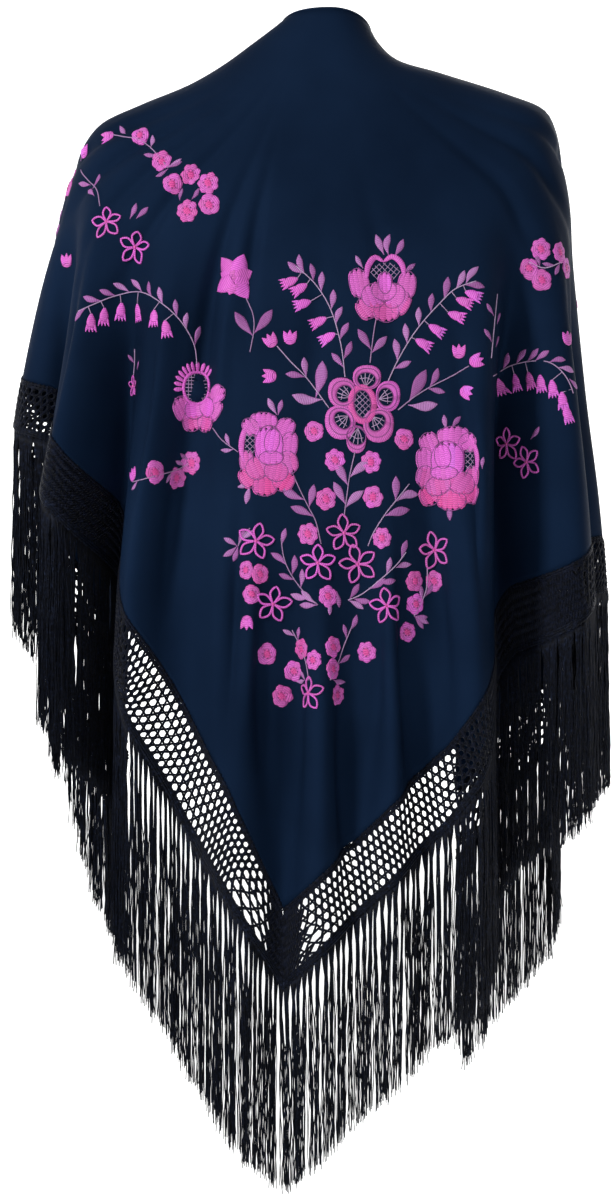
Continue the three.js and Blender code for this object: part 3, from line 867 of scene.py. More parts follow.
# Open stars: x, z, width, turn in degrees
STARS = [
    (-223, -162, 36, 12),
    (-195, -187, 36, -8),
    (-74, -481, 37, -14),
    (14, -473, 36, 6),
    (-12, -503, 37, 0),
    (28, -504, 38, 16),
    (-57, -544, 38, -10),
    (57, -546, 37, 10),
    (-21, -633, 34, 0),
    (105, -490, 38, 14),
    (177, -384, 34, 0),
    (197, -402, 34, 20),
    (-196, -326, 22, 0),
]

# Sprays: the stem from its tip to its root, the middles of its leaves, their length, and, where
# it has bells, the direction that they open in and their middles
SPRAYS = [
    # left bell spray
    ([(-255, -253), (-238, -245), (-215, -236), (-189, -232), (-166, -245), (-148, -263), (-136, -285),
      (-133, -308)],
     [(-248, -252), (-236, -239), (-222, -233), (-208, -228), (-191, -228), (-179, -231), (-169, -236),
      (-154, -248), (-143, -262), (-133, -276)], 18, -92,
     [(-239, -263), (-226, -257), (-209, -252), (-192, -253), (-176, -258), (-164, -269)]),
    # bouquet's left bell spray
    ([(-34, -206), (-14, -225), (1, -250), (11, -285), (15, -317)],
     [(18, -289), (17, -266), (11, -250), (3, -233), (-8, -218), (-19, -207), (-30, -198), (-42, -202),
      (6, -298)], 19, 203,
     [(-41, -222), (-31, -229), (-28, -244), (-12, -262), (-3, -278)]),
    # bouquet's right bell spray
    ([(146, -221), (125, -229), (108, -245), (91, -264), (79, -281), (67, -302), (58, -321)],
     [(66, -290), (80, -302), (76, -272), (89, -254), (102, -240), (116, -228), (130, -220), (144, -213),
      (154, -227)], 20, -24,
     [(144, -235), (135, -242), (127, -256), (107, -270), (94, -284)]),
    # right bell spray
    ([(244, -362), (244, -338), (236, -317), (221, -303), (202, -301), (180, -306), (163, -316)],
     [(174, -305), (190, -298), (203, -295), (215, -294), (229, -301), (239, -310), (245, -324)], 17, -80,
     [(170, -327), (186, -323), (200, -321), (211, -324), (223, -329), (233, -341), (238, -355)]),
    # bouquet's left bud sprig
    ([(-53, -286), (-39, -302), (-26, -315), (-14, -330), (-1, -348)],
     [(-25, -306), (-39, -315)], 19),
    # bouquet's right bud sprig
    ([(139, -306), (120, -317), (100, -327), (84, -337), (68, -350)],
     [(104, -317), (108, -331)], 19),
    # pointed flower's stem
    ([(-84, -238), (-77, -254), (-76, -270), (-80, -292)],
     [(-86, -264), (-69, -264)], 28),
    # top rose's stem
    ([(46, -259), (44, -270), (42, -285), (40, -303)],
     [(35, -280), (50, -284)], 25),
    # netted rose's stem
    ([(-117, -368), (-108, -380), (-92, -392)],
     [(-110, -390), (-102, -380)], 14),
    # stars' stem on the left shoulder
    ([(-248, -95), (-249, -110), (-242, -120), (-233, -130), (-230, -146)],
     [(-254, -122), (-233, -121), (-242, -132)], 17),
    # chain on the left shoulder
    ([(-222, -74), (-206, -77), (-190, -80), (-175, -92), (-162, -108)],
     [(-208, -70), (-178, -81), (-187, -94), (-176, -119), (-154, -102), (-147, -101)], 15),
    # sprig below the bouquet, middle
    ([(25, -392), (20, -414), (17, -434), (14, -457)],
     [(11, -412), (29, -410), (9, -432), (26, -438)], 25),
    # sprig below the bouquet, left
    ([(-38, -412), (-30, -430), (-21, -448), (-14, -462), (-9, -484)],
     [(-16, -424), (-38, -433), (-34, -449)], 25),
    # sprig below the bouquet, right
    ([(79, -424), (68, -438), (56, -453), (44, -472), (38, -486)],
     [(66, -420), (78, -438), (63, -454)], 25),
    # bottom left sprig
    ([(-49, -478), (-46, -498), (-38, -516), (-24, -534), (-12, -545)],
     [(-47, -480), (-54, -497), (-37, -506), (-46, -516), (-29, -522), (-36, -535), (-28, -545),
      (-18, -540)], 18),
    # bottom right sprig
    ([(76, -492), (66, -505), (50, -520), (32, -534), (18, -540)],
     [(73, -493), (73, -506), (58, -508), (58, -521), (44, -526), (32, -540), (24, -532), (30, -547)], 18),
    # lower left vine
    ([(-80, -468), (-88, -478), (-92, -486)],
     [(-77, -450), (-69, -465), (-106, -478), (-106, -496), (-103, -523)], 16),
    # sprigs of the bottom blossoms, left, middle and right
    ([(-38, -570), (-30, -585), (-24, -602), (-21, -620)],
     [(-41, -573), (-31, -572), (-47, -601), (-64, -626)], 13),
    ([(22, -566), (14, -585), (8, -602), (0, -620)],
     [(15, -572), (22, -566), (19, -596), (24, -623)], 15),
    ([(97, -500), (96, -530), (84, -556)],
     [(96, -457), (86, -470), (122, -494), (116, -511), (88, -558), (104, -558), (96, -571)], 15),
    # valley sprig
    ([(167, -234), (164, -265), (161, -298)],
     [(161, -250), (169, -258), (158, -275), (167, -282)], 15),
    # valley star's stem
    ([(-195, -289), (-195, -302), (-196, -315)],
     [(-199, -298), (-191, -305)], 11),
    # left blossoms' stem
    ([(-197, -422), (-175, -416), (-154, -410), (-138, -402)],
     [(-152, -392), (-160, -400), (-169, -428), (-194, -424)], 14),
    # right blossoms' stem
    ([(199, -202), (215, -208), (236, -200)],
     [(219, -204), (226, -212), (206, -198)], 13),
]

# Leaves that stand alone: x, z, direction in degrees, length
LEAVES = [
    (-149, -135, 100, 14),
    (-135, -134, 60, 14),
    (-197, -151, 68, 17),
    (-188, -153, 42, 17),
    (-57.5, -346.5, 118, 19),
    (-50, -347.5, 75, 16),
    (-85.5, -426, 189, 14),
    (-82, -434.5, 258, 19),
    (115.5, -362.5, 101, 16),
    (126, -362.5, 52, 16),
    (120.5, -451, 267, 19),
    (128, -444.5, 333, 12),
    (50, -185, 112, 22),
    (59.5, -185, 87, 21),
    (69, -188, 63, 20),
    (29.5, -202, 120, 15),
    (79.5, -208.5, 39, 15),
    (-11, -319, 80, 38),
    (-22.5, -337.5, 172, 31),
    (87.5, -326, 62, 37),
    (93, -345, 2, 30),
    (205, -373, 50, 16),
    (8, -539, 280, 16),
    (0, -548, 265, 14),
    (153, -403, 84, 12),
]

# Buds: x, z, direction in degrees
BUDS = [
    (-222, -78, 200),
    (-246, -92, 100),
    (-263, -201, 90),
    (-197, -415, 120),
    (-201, -424, 190),
    (-59, -281, 120),
    (-40, -278, 90),
    (-60, -316, 180),
    (129, -292, 90),
    (146, -301, 20),
    (136, -332, -20),
    (238, -279, 90),
    (-83, -562, -90),
]

# Sprigs on the fronts: place around, share of the way down, lean in degrees, flower
FRONT_SPRIGS = [
    (-0.70, 0.62, -6, "rosettes"),
    (-0.80, 0.34, -10, "rosettes"),
    (-0.83, 0.68, 12, "star"),
    (-0.93, 0.30, 4, "star"),
    (-0.94, 0.62, -8, "rosettes"),
    (0.70, 0.62, 6, "rosettes"),
    (0.79, 0.34, 10, "rosettes"),
    (0.82, 0.68, -10, "star"),
    (0.92, 0.30, -4, "star"),
    (0.94, 0.62, 8, "rosettes"),
]


near = VIEW_DISTANCE / (CLOTH[:, :, 1] - BACK_Y + VIEW_DISTANCE)
SEEN = [VIEW_X, VIEW_Z] + (CLOTH[:, :, ::2] - [VIEW_X, VIEW_Z]) * near[:, :, None]
FACES_VIEW = OUT[:, :, 1] < -0.05


def slopes(grid, row, at):
    """How a grid's values change over one row and over one place around."""
    return (sample(grid, row + STEP_ROW, at) - sample(grid, row - STEP_ROW, at),
            (sample(grid, row, at + STEP_AT) - sample(grid, row, at - STEP_AT)) / (2 * STEP_AT))


def on_cloth(x, z):
    """The row and place of the cloth that is seen at x, z from behind."""
    far = np.sum((SEEN[::2, ::2] - [x, z]) ** 2, axis=2)
    far = np.where(FACES_VIEW[::2, ::2], far, 1e9)
    close = far < max(far.min() * 1.5, SEEN_NEAR ** 2)
    depth = np.where(close, CLOTH[::2, ::2, 1], 1e9)
    far = np.where(close & (depth < depth.min() + SEEN_DEEPER), far, 1e9)
    i, j = np.unravel_index(np.argmin(far), far.shape)
    place = np.array([i * 2.0, AT[j * 2]])
    for _ in range(4):
        step = np.linalg.lstsq(np.stack(slopes(SEEN, *place), axis=1),
                               [x, z] - sample(SEEN, *place), rcond=None)[0]
        place += np.clip(step, [-2, -0.006], [2, 0.006])
    return place


class Spot:
    """A place on the cloth, with its own flat measure: a to the right and b up, in mm."""

    def __init__(self, row, at, turn=0.0):
        self.row, self.at = row, at
        down, across = slopes(CLOTH, row, at)
        out = unit(np.cross(down, across))
        level = np.cross([0, 0, 1], out)
        level = unit(level * np.sign(level @ across))
        up = np.cross(out, level)
        up *= np.sign(up[2])
        c, s = math.cos(turn), math.sin(turn)
        self.right, self.up = level * c + up * s, up * c - level * s
        self.out = np.cross(self.right, self.up)
        self.solve = np.linalg.pinv(np.stack([down, across], axis=1))

    def lay(self, flat, height):
        """Points of the cloth at flat places, raised by height."""
        flat = np.asarray(flat, float)
        change = (flat[:, :1] * self.right + flat[:, 1:2] * self.up) @ self.solve.T
        row, at = self.row + change[:, 0], self.at + change[:, 1]
        return sample(CLOTH, row, at) + sample(OUT, row, at) * np.asarray(height)[:, None]


def spot_at(x, z, turn=0.0):
    """The spot that is seen at x, z from behind."""
    return Spot(*on_cloth(x, z), turn)


def spot_shift(spot, flat):
    """The row and place of the cloth at a flat place beside a spot."""
    change = spot.solve @ (flat[0] * spot.right + flat[1] * spot.up)
    return spot.row + change[0], spot.at + change[1]


def toward(angle):
    """One millimetre in a direction in degrees, counted from the right."""
    a = math.radians(angle)
    return np.array([math.cos(a), math.sin(a)])


def left_of(u):
    """Directions turned a quarter to the left."""
    return np.stack([-u[..., 1], u[..., 0]], axis=-1)


def path_at(path, down):
    """Places at distances down a path."""
    return np.stack([np.interp(down, along_line(path), path[:, axis]) for axis in (0, 1)], axis=-1)


def curve(points, steps=6):
    """A smooth line through points."""
    p = np.asarray(points, float)
    p = np.concatenate([2 * p[:1] - p[1:2], p, 2 * p[-1:] - p[-2:-1]])
    out = []
    for k in range(1, len(p) - 2):
        a, b, c, d = p[k - 1:k + 3]
        for t in np.arange(steps) / steps:
            out.append(0.5 * (2 * b + (c - a) * t + (2 * a - 5 * b + 4 * c - d) * t * t
                              + (3 * b - a - 3 * c + d) * t ** 3))
    return np.array(out + [p[-2]])


# How wide a stitched shape is along its length, from its base at 0 to its tip at 1
PROFILES = {
    "leaf": lambda t: np.sin(np.pi * t ** 1.45) ** 0.95,
    "point": lambda t: np.abs(np.sin(np.pi * (0.28 + 0.72 * t))) ** 0.9,
    "petal": lambda t: np.sqrt(np.clip(t, 0, 1)) * np.sqrt(np.clip(1 - t ** 3.2, 0, 1)),
    "round": lambda t: np.sqrt(np.clip(1 - (2 * t - 1) ** 2, 0, 1)),
    "bell": lambda t: 0.22 + 0.78 * np.sin(np.pi / 2 * np.clip(t * 1.5, 0, 1)) - 0.14 * t ** 3,
    "arc": lambda t: np.sin(np.pi * t) ** 0.4,
}
UNDER = -0.25          # stitches start this far below the cloth's face
PAD_ACROSS = np.array([-1, -0.55, 0, 0.55, 1.0])     # a pad's points from side to side
LEAST_HALF = 0.25      # half the width that a pad keeps at its ends


def pad(sewn, spot, path, wide, kind="leaf", rise=0.65, tone=0.5, steps=8, level=0.25):
    """A padded satin-stitch shape along a path, its threads across it, raised in the middle."""
    path = curve(path) if len(path) > 2 else np.asarray(path, float)
    t, v = np.linspace(0.0, 1.0, steps), PAD_ACROSS
    down = t * along_line(path)[-1]
    middle = path_at(path, down)
    side = left_of(unit(np.gradient(middle, axis=0)))
    half = np.maximum(PROFILES[kind](t) * wide / 2, LEAST_HALF)
    flat = (middle[:, None] + side[:, None] * (v * half[:, None])[:, :, None]).reshape(-1, 2)
    height = level + rise * np.sqrt(1 - v ** 2) * np.clip(half / (wide * 0.3), 0.2, 1)[:, None]
    ids = np.arange(len(flat)).reshape(steps, len(v))
    below = ids[:, ::2].ravel()
    under = len(flat) + np.arange(len(below)).reshape(steps, 3)
    points = np.concatenate([spot.lay(flat, height.ravel()),
                             spot.lay(flat[below], np.full(len(below), UNDER))])
    faces = [(ids[i, j], ids[i + 1, j], ids[i + 1, j + 1], ids[i, j + 1])
             for i in range(steps - 1) for j in range(len(v) - 1)]
    faces += [(under[i, j], under[i, j + 1], under[i + 1, j + 1], under[i + 1, j])
              for i in range(steps - 1) for j in range(2)]
    for i in range(steps - 1):
        faces.append((ids[i, 0], under[i, 0], under[i + 1, 0], ids[i + 1, 0]))
        faces.append((ids[i + 1, -1], under[i + 1, -1], under[i, -1], ids[i, -1]))
    for j in range(2):
        first, last = ids[0, 2 * j:2 * j + 3], ids[-1, 2 * j:2 * j + 3]
        faces.append((*first, under[0, j + 1], under[0, j]))
        faces.append((*last[::-1], under[-1, j], under[-1, j + 1]))
    uv = np.stack(np.broadcast_arrays(down[:, None], v * half[:, None]), axis=2).reshape(-1, 2)
    sewn.add(points, faces, np.concatenate([uv, uv[below]]), tone)


def lobe(sewn, spot, middle, wide, tall, turn=0.0, tone=0.5, level=0.3, rise=0.7):
    """A rounded petal, filled with satin stitch from side to side."""
    u = toward(90 + turn) * tall / 2
    middle = np.asarray(middle, float)
    pad(sewn, spot, [middle - u, middle + u], wide, "round", rise, tone, 9, level)


def rose_petal(spot, middle, wide, tall, turn, tone, level):
    """A ruffled petal: ridges of satin stitch side by side, so that its rim is scalloped, with
    a dark line of stem stitch round it as painted shade in the gap between petals."""
    u, v = toward(90 + turn), toward(turn)
    middle = np.asarray(middle, float)
    # Painted shade: a dark mauve line where the gap between petals falls into shade
    outline(leaves, spot, oval(middle, wide, tall, turn, 18), 1.1, 0.15, level + 0.2)
    ridges = 3 if wide < 20 else 4 if wide < 27 else 5
    for k in range(ridges):
        w = (k + 0.5) / ridges - 0.5
        reach = tall * (0.5 * math.sqrt(1 - (1.5 * w) ** 2) + chance.uniform(-0.03, 0.04))
        place = middle + v * w * wide * 0.92
        pad(blossoms, spot, [place - u * reach, place + u * reach], wide / ridges * 1.45, "round",
            0.6, tone + chance.normal(0, 0.05), 8, level + 0.12 * (1 - 2 * abs(w)))


def line(sewn, spot, flat, wide, tone=0.5, rise=0.5):
    """A stitched line of even width through flat places."""
    tube(sewn, spot.lay(flat, np.full(len(flat), rise)), wide / 2, 5, tone)


def outline(sewn, spot, edge, wide, tone, rise):
    """A stitched line all round an outline."""
    line(sewn, spot, np.concatenate([edge, edge[:2]]), wide, tone, rise)


def seen_line(sewn, points, wide, height, tone=0.5):
    """A stitched line through places seen from behind, broken where a fold hides part of it, so
    that the cloth between two places is far longer than it looks."""
    spots = np.array([on_cloth(x, z) for x, z in points])
    gone = np.abs(np.diff(spots, axis=0)) @ [ROW_TO_MM, AROUND_TO_MM]
    seen = np.linalg.norm(np.diff(points, axis=0), axis=1)
    for run in np.split(spots, np.flatnonzero(gone > 2.5 * seen + 8) + 1):
        if len(run) > 1:
            row, at = run.T
            tube(sewn, sample(CLOTH, row, at) + sample(OUT, row, at) * height, wide / 2, 5, tone)


def oval(middle, wide, tall, turn=0.0, steps=20, square=1.0):
    """The outline of an oval, or of a squarer one where square is under 1. Its points keep
    their directions from the middle whatever its turn."""
    angle = np.linspace(0, 2 * math.pi, steps, endpoint=False)
    a = angle - math.radians(turn)
    c, s = np.cos(a), np.sin(a)
    x = wide / 2 * np.sign(c) * np.abs(c) ** square
    y = tall / 2 * np.sign(s) * np.abs(s) ** square
    c, s = math.cos(math.radians(turn)), math.sin(math.radians(turn))
    return np.stack([middle[0] + x * c - y * s, middle[1] + x * s + y * c], axis=1)


def band(sewn, spot, inner, outer, tone=0.5, level=0.3, rise=0.9):
    """A closed band of satin stitch between two outlines, its threads across it."""
    steps, v = len(inner), np.array([0, 0.25, 0.75, 1.0])
    flat = inner[:, None] * (1 - v)[None, :, None] + outer[:, None] * v[None, :, None]
    height = np.tile(level + rise * np.sqrt(np.clip(1 - (2 * v - 1) ** 2, 0, 1)), steps)
    top = spot.lay(flat.reshape(-1, 2), height)
    low = spot.lay(flat.reshape(-1, 2), np.full(len(height), UNDER))
    wide = np.linalg.norm(outer - inner, axis=1)
    uv = np.stack([np.repeat(along_line(outer), len(v)), (wide[:, None] * v).ravel()], axis=1)
    m = len(v)
    n = steps * m
    faces = []
    for i in range(steps):
        k = (i + 1) % steps
        for j in range(m - 1):
            faces.append((i * m + j, i * m + j + 1, k * m + j + 1, k * m + j))
        faces.append((i * m, k * m, n + k * m, n + i * m))
        faces.append((k * m + m - 1, i * m + m - 1, n + i * m + m - 1, n + k * m + m - 1))
        for j in range(m - 1):
            faces.append((n + i * m + j, n + k * m + j, n + k * m + j + 1, n + i * m + j + 1))
    sewn.add(np.concatenate([top, low]), faces, np.concatenate([uv, uv]), tone)


def net_filling(spot, middle, wide, tall, gap, height=0.35):
    """An oval filled with threads crossed on the slant over the bare cloth."""
    middle = np.asarray(middle, float)
    reach = max(wide, tall) / 2
    run = np.linspace(-reach, reach, 25)
    for slant in (45, -45):
        u, v = toward(slant), toward(slant + 90)
        for offset in np.arange(-reach, reach + 0.1, gap):
            there = u * run[:, None] + v * offset
            inside = run[np.sum((there / [wide / 2, tall / 2]) ** 2, axis=1) <= 1]
            if len(inside) > 1:
                ends = [u * t + v * offset + middle for t in (inside[0], inside.mean(), inside[-1])]
                line(stems, spot, ends, 0.7, 0.6, height)


blossoms, leaves, stems, backing = Sewn(), Sewn(), Sewn(), Sewn()
EYE_KNOTS = 7          # knots round a small blossom's eye


def rosette(spot, wide, middle=(0, 0)):
    """A small round blossom: five to seven scallops round a redder eye ringed with knots."""
    middle = np.asarray(middle, float)
    start, tone = chance.uniform(0, 51), chance.uniform(0.2, 0.5)
    scallops = chance.integers(5, 8)
    for k in range(scallops):
        u = toward(start + k * 360 / scallops + chance.normal(0, 4)) * [1.0, 1.12]
        pad(blossoms, spot, [middle + u * wide * 0.08, middle + u * wide * 0.55],
            wide * 3.2 / scallops, "round", 0.6, tone + chance.normal(0, 0.06), 7)
    lobe(blossoms, spot, middle, wide * 0.62, wide * 0.68, start, tone * 0.5, 0.5, 0.4)
    lobe(blossoms, spot, middle, wide * 0.34, wide * 0.38, start, 0.0, 0.8, 0.4)
    for k in range(EYE_KNOTS):
        place = middle + toward(start + k * 360 / EYE_KNOTS) * wide * 0.23
        knot(leaves, spot.lay([place], [0.95])[0], spot.right, spot.out, 0.7, tone=0.0)


# One side of a star's petal: share of the way to its tip, and half width as a share of it
STAR_PETAL = [(0.05, 0.03), (0.3, 0.17), (0.55, 0.26), (0.78, 0.2), (1.0, 0.0)]


def star(spot, wide, tone):
    """An open star of five pointed petals, each drawn with a thick line."""
    for k in range(5):
        u, v = toward(90 + k * 72), toward(180 + k * 72)
        r = wide / 2 * chance.uniform(0.95, 1.05)
        loop = [u * r * t + v * w * r for t, w in STAR_PETAL]
        loop += [u * r * t - v * w * r for t, w in STAR_PETAL[-2::-1]]
        line(blossoms, spot, curve(loop, 2), wide * 0.062, tone + chance.normal(0, 0.05), 0.7)
    knot(blossoms, spot.lay([(0, 0)], [1.0])[0], spot.right, spot.out, 2.0, tone=0.1)


BELL_LONG, BELL_WIDE = 19.0, 9.5
LEAF_SHARE = 0.33      # a leaf's width over its length


def bell(spot, u):
    """A hanging bell: a body that swells from its stalk, with four pointed teeth at the mouth."""
    v, long, wide = left_of(u), BELL_LONG, BELL_WIDE
    tone = chance.uniform(0.4, 0.65)
    pad(blossoms, spot, [-u * long * 0.5, u * long * 0.22], wide, "bell", 0.8, tone, 7)
    for w in (-0.4, -0.13, 0.13, 0.4):
        pad(blossoms, spot, [u * long * 0.1 + v * w * wide * 0.9, u * long * 0.3 + v * w * wide * 1.1,
                             u * long * 0.48 + v * w * wide * 1.45],
            wide * 0.3, "point", 0.5, tone + 0.1, 6)


BUD_LONG = 15.0


def bud(spot, turn):
    """A half-open bud: a full cup with three short points."""
    u, v, long = toward(turn), toward(turn + 90), BUD_LONG
    tone = chance.uniform(0.3, 0.6)
    lobe(blossoms, spot, -u * long * 0.06, long * 0.82, long * 0.78, turn - 90, tone, 0.3)
    for w, share in ((-0.42, 0.46), (0.42, 0.46), (0.0, 0.54)):
        pad(blossoms, spot, [-u * long * 0.2 + v * w * long * 0.3, u * long * share + v * w * long],
            long * 0.42, "point", 0.5, tone + 0.1 + w * 0.2, 7, 0.6)


def leaf(spot, way, long, middle=(0, 0)):
    """A leaf, narrow at its base and blunt-pointed, bent a little to one side."""
    u, middle = unit(way), np.asarray(middle, float)
    path = [middle - u * long / 2, middle + left_of(u) * chance.normal(0, 0.05) * long,
            middle + u * long / 2]
    pad(leaves, spot, path, long * LEAF_SHARE, "leaf", 0.6, chance.uniform(0.3, 0.75))


def spray(stem, leaf_places, long, bell_turn=0, bell_places=()):
    """A stem, listed from its tip, with leaves that spring from it and lean towards the tip,
    and bells on short stalks that open in one direction."""
    path = curve(stem, 10)
    seen_line(stems, path[::2], 1.2, 0.4, chance.uniform(0.3, 0.9))
    for place in np.array(leaf_places, float):
        gaps = np.linalg.norm(path - place, axis=1)
        base = path_at(path, along_line(path)[np.argmin(gaps)] + max(gaps.min() * 1.3, 5))
        way = unit(place - base + [0, 0.01])
        size = long * chance.uniform(0.95, 1.15)
        leaf(spot_at(*(base + way * size / 2)), way, size)
    for place in np.array(bell_places, float).reshape(-1, 2):
        way = toward(bell_turn + chance.normal(0, 6))
        stalk_end = place - way * BELL_LONG * 0.45
        joint = path[np.argmin(np.linalg.norm(path - stalk_end, axis=1))]
        bell(spot_at(*place), way)
        seen_line(stems, [joint, stalk_end], 0.9, 0.4, 0.7)


# The central flower: its petals' middles, widths and heights, the size of their windows, and
# its eye inside and outside the band of stitches round it
CENTRE_PETALS = [
    (4.5, 27, 28, 26),
    (25.5, 7, 25, 31),
    (16, -20, 31, 32),
    (-6.5, -33, 20, 24),
    (-22, -18, 31, 32),
    (-20, 11, 28, 31),
]
WINDOW = (15, 18.5)
EYE_INSIDE, EYE_OUTSIDE, EYE_TURN = (17, 28), (29, 40), 5


def central_flower():
    """Six broad petals round an oval eye. Each is a thick band of satin stitch about a small
    window, which is crossed by threads that run from the flower's middle."""
    spot = spot_at(*CENTRE)
    for x, z, wide, tall in CENTRE_PETALS:
        away = math.degrees(math.atan2(z, x))
        u, v = toward(away), toward(away + 90)
        window = np.array([x, z]) - u * 2.5
        inner, outer = oval(window, *WINDOW, away), oval((x, z), wide, tall, 0, 20, 0.88)
        band(blossoms, spot, inner, outer, 0.4 + chance.normal(0, 0.05), 0.3, 0.8)
        for share in (0.0, 0.55):
            outline(leaves, spot, inner * (1 - share) + outer * share, 0.9, 0.1, 0.5 + share)
        root = window - u * 7
        for spread in (-0.8, -0.3, 0.3, 0.8):
            tip = window + v * 8 * spread + u * 7 * math.sqrt(1 - spread ** 2)
            line(stems, spot, [root, (root + tip) / 2 + v * spread, tip], 0.9, 0.8, 0.35)
        line(stems, spot, [window - v * 7, window + u * 2, window + v * 7], 0.8, 0.8, 0.35)
    inner, outer = oval((0, 0), *EYE_INSIDE, EYE_TURN), oval((0, 0), *EYE_OUTSIDE, EYE_TURN)
    band(blossoms, spot, inner, outer, 0.12, 0.7, 0.7)
    outline(leaves, spot, inner, 0.9, 0.1, 0.8)
    net_filling(spot, (0, 0), *EYE_INSIDE, 4.2)


# A full rose seen from the side, 57 mm wide and 83 tall, with its open side to the left:
# its petals from the lowest up, by middle, width, height, turn, tone and level
ROSE_WIDE, ROSE_TALL = 57, 83
ROSE_LOBES = [
    (0, -18, 40, 30, 0, 0.1, 0.2),
    (-4, 33, 27, 20, 0, 0.42, 0.3),
    (-17, 26, 16, 20, 35, 0.38, 0.35),
    (17, 25, 18, 24, -25, 0.4, 0.35),
    (21, 8, 16, 26, -5, 0.4, 0.4),
    (-19, -24, 18, 22, 35, 0.1, 0.3),
    (-3, -32, 24, 20, 0, 0.05, 0.35),
    (15, -27, 22, 22, -30, 0.08, 0.4),
    (-21, -9, 14, 22, 5, 0.25, 0.4),
    (20, -10, 18, 24, 12, 0.25, 0.45),
    (-11, -15, 22, 22, 25, 0.2, 0.55),
    (8, -18, 24, 20, -15, 0.18, 0.6),
    (1, 8, 28, 40, 0, 0.66, 0.65),
    (3, -5, 24, 14, 0, 0.5, 0.85),
    (4, 12, 15, 26, -10, 0.6, 0.9),
]
# The middle line of the petal that rims its net
ROSE_RIM = [(-12, 31), (-21, 26), (-26, 12), (-26, -2), (-22, -12)]


def side_rose(x, z, mirror, wide, tall):
    """A rose with a crescent of net between its outer petal and its heart."""
    spot = spot_at(x, z)
    scale = np.array([mirror * wide / ROSE_WIDE, tall / ROSE_TALL])
    for a, b, across, up, turn, tone, level in ROSE_LOBES:
        rose_petal(spot, np.array([a, b]) * scale, across * abs(scale[0]), up * scale[1],
                   turn * mirror, tone, level)
    pad(blossoms, spot, np.array(ROSE_RIM) * scale, 6.0, "arc", 0.7, 0.4, 12, 0.5)
    net_filling(spot, np.array([-18, 9]) * scale, 11, 32, 4.0, 0.5)


# The top rose's petals from the lowest up, and the middle lines of its two arched ones
TOP_ROSE_LOBES = [
    (-23, 2, 20, 30, 12, 0.35, 0.3),
    (25, -1, 18, 29, -8, 0.35, 0.3),
    (-14, -20, 24, 22, 40, 0.2, 0.4),
    (4, -23, 26, 20, 0, 0.15, 0.45),
    (18, -16, 20, 22, -35, 0.25, 0.4),
    (-8, -9, 26, 24, 20, 0.4, 0.55),
    (11, -9, 24, 24, -15, 0.4, 0.6),
    (2, -4, 26, 20, 0, 0.35, 0.8),
    (3, 4, 14, 22, 0, 0.6, 1.0),
]
TOP_ROSE_ARCHES = [
    [(-16, 6), (-14, 20), (-6, 30), (3, 25)],
    [(2, 25), (12, 30), (21, 21), (23, 7)],
]


def top_rose():
    """A rose looked at from the front: a cup of broad petals, a tongue that rises from it into
    an open net, and two arched petals over the net."""
    spot = spot_at(*TOP_ROSE)
    for a, b, *rest in TOP_ROSE_LOBES:
        rose_petal(spot, (a, b), *rest)
    net_filling(spot, (3.5, 15), 31, 19, 4.2, 0.4)
    for path in TOP_ROSE_ARCHES:
        pad(blossoms, spot, path, 6.0, "arc", 0.7, 0.42, 12, 0.6)


# The netted rose's petals from the lowest up, and the middle and width of its round net
NET_ROSE_PETALS = [
    (11, -10, 30, 28, -30, 0.3, 0.2),
    (-19, -14, 20, 24, 35, 0.35, 0.3),
    (-7, -24, 22, 22, 15, 0.25, 0.4),
    (9, -26, 22, 22, -10, 0.2, 0.45),
    (22, -17, 20, 24, -35, 0.3, 0.4),
    (26, -2, 18, 22, -70, 0.4, 0.5),
    (-4, -14, 26, 20, 10, 0.5, 0.8),
    (12, -14, 24, 20, -20, 0.5, 0.9),
]
NET_ROSE_MIDDLE, NET_ROSE_WIDE = np.array([-3.0, 6.0]), 29.0
GROUND_STEPS = 24


def net_rose():
    """A round net in a ring, with short rays above it and a cup of petals below."""
    spot = spot_at(*NET_ROSE)
    for a, b, *rest in NET_ROSE_PETALS:
        rose_petal(spot, (a, b), *rest)
    for angle in range(46, 200, 14):
        u = toward(angle)
        pad(blossoms, spot, [NET_ROSE_MIDDLE + u * 15, NET_ROSE_MIDDLE + u * 27], 6.0, "petal",
            0.8, 0.5, 6)
    radius, n = NET_ROSE_WIDE / 2, GROUND_STEPS
    ground = oval(NET_ROSE_MIDDLE, NET_ROSE_WIDE, NET_ROSE_WIDE, 0, n)
    top, low = spot.lay(ground, np.full(n, 1.55)), spot.lay(ground, np.full(n, UNDER))
    backing.add(np.concatenate([top, low]), [tuple(range(n)), tuple(range(2 * n - 1, n - 1, -1))]
                + [(k, n + k, n + (k + 1) % n, (k + 1) % n) for k in range(n)])
    rim = oval(NET_ROSE_MIDDLE, NET_ROSE_WIDE + 6, NET_ROSE_WIDE + 6, 0, n)
    band(blossoms, spot, ground, rim, 0.5, 1.2, 0.7)
    for offset in np.arange(-10.5, 10.6, 3.5):
        half = math.sqrt(radius ** 2 - offset ** 2)
        for u, v in ((toward(0), toward(90)), (toward(90), toward(0))):
            line(stems, spot, [NET_ROSE_MIDDLE + v * offset + u * end for end in (-half, 0, half)],
                 0.8, 0.6, 1.8)


# The pointed flower's petals: direction in degrees, length and width
TULIP_PETALS = [
    (127, 28, 19),
    (160, 18, 17),
    (69, 26, 18),
    (22, 19, 17),
    (-20, 15, 16),
    (-57, 24, 18),
    (-105, 17, 17),
    (211, 24, 18),
]


def tulip():
    """A blossom of pointed petals opening upwards."""
    spot = spot_at(*TULIP)
    for k, (angle, long, wide) in enumerate(TULIP_PETALS):
        pad(blossoms, spot, [toward(angle) * 2, toward(angle) * long], wide, "point", 0.7,
            0.42 + 0.08 * (k % 3), 9, 0.3 + 0.08 * k)
    lobe(blossoms, spot, (0, 0), 15, 17, 0, 0.3, 0.75, 0.4)


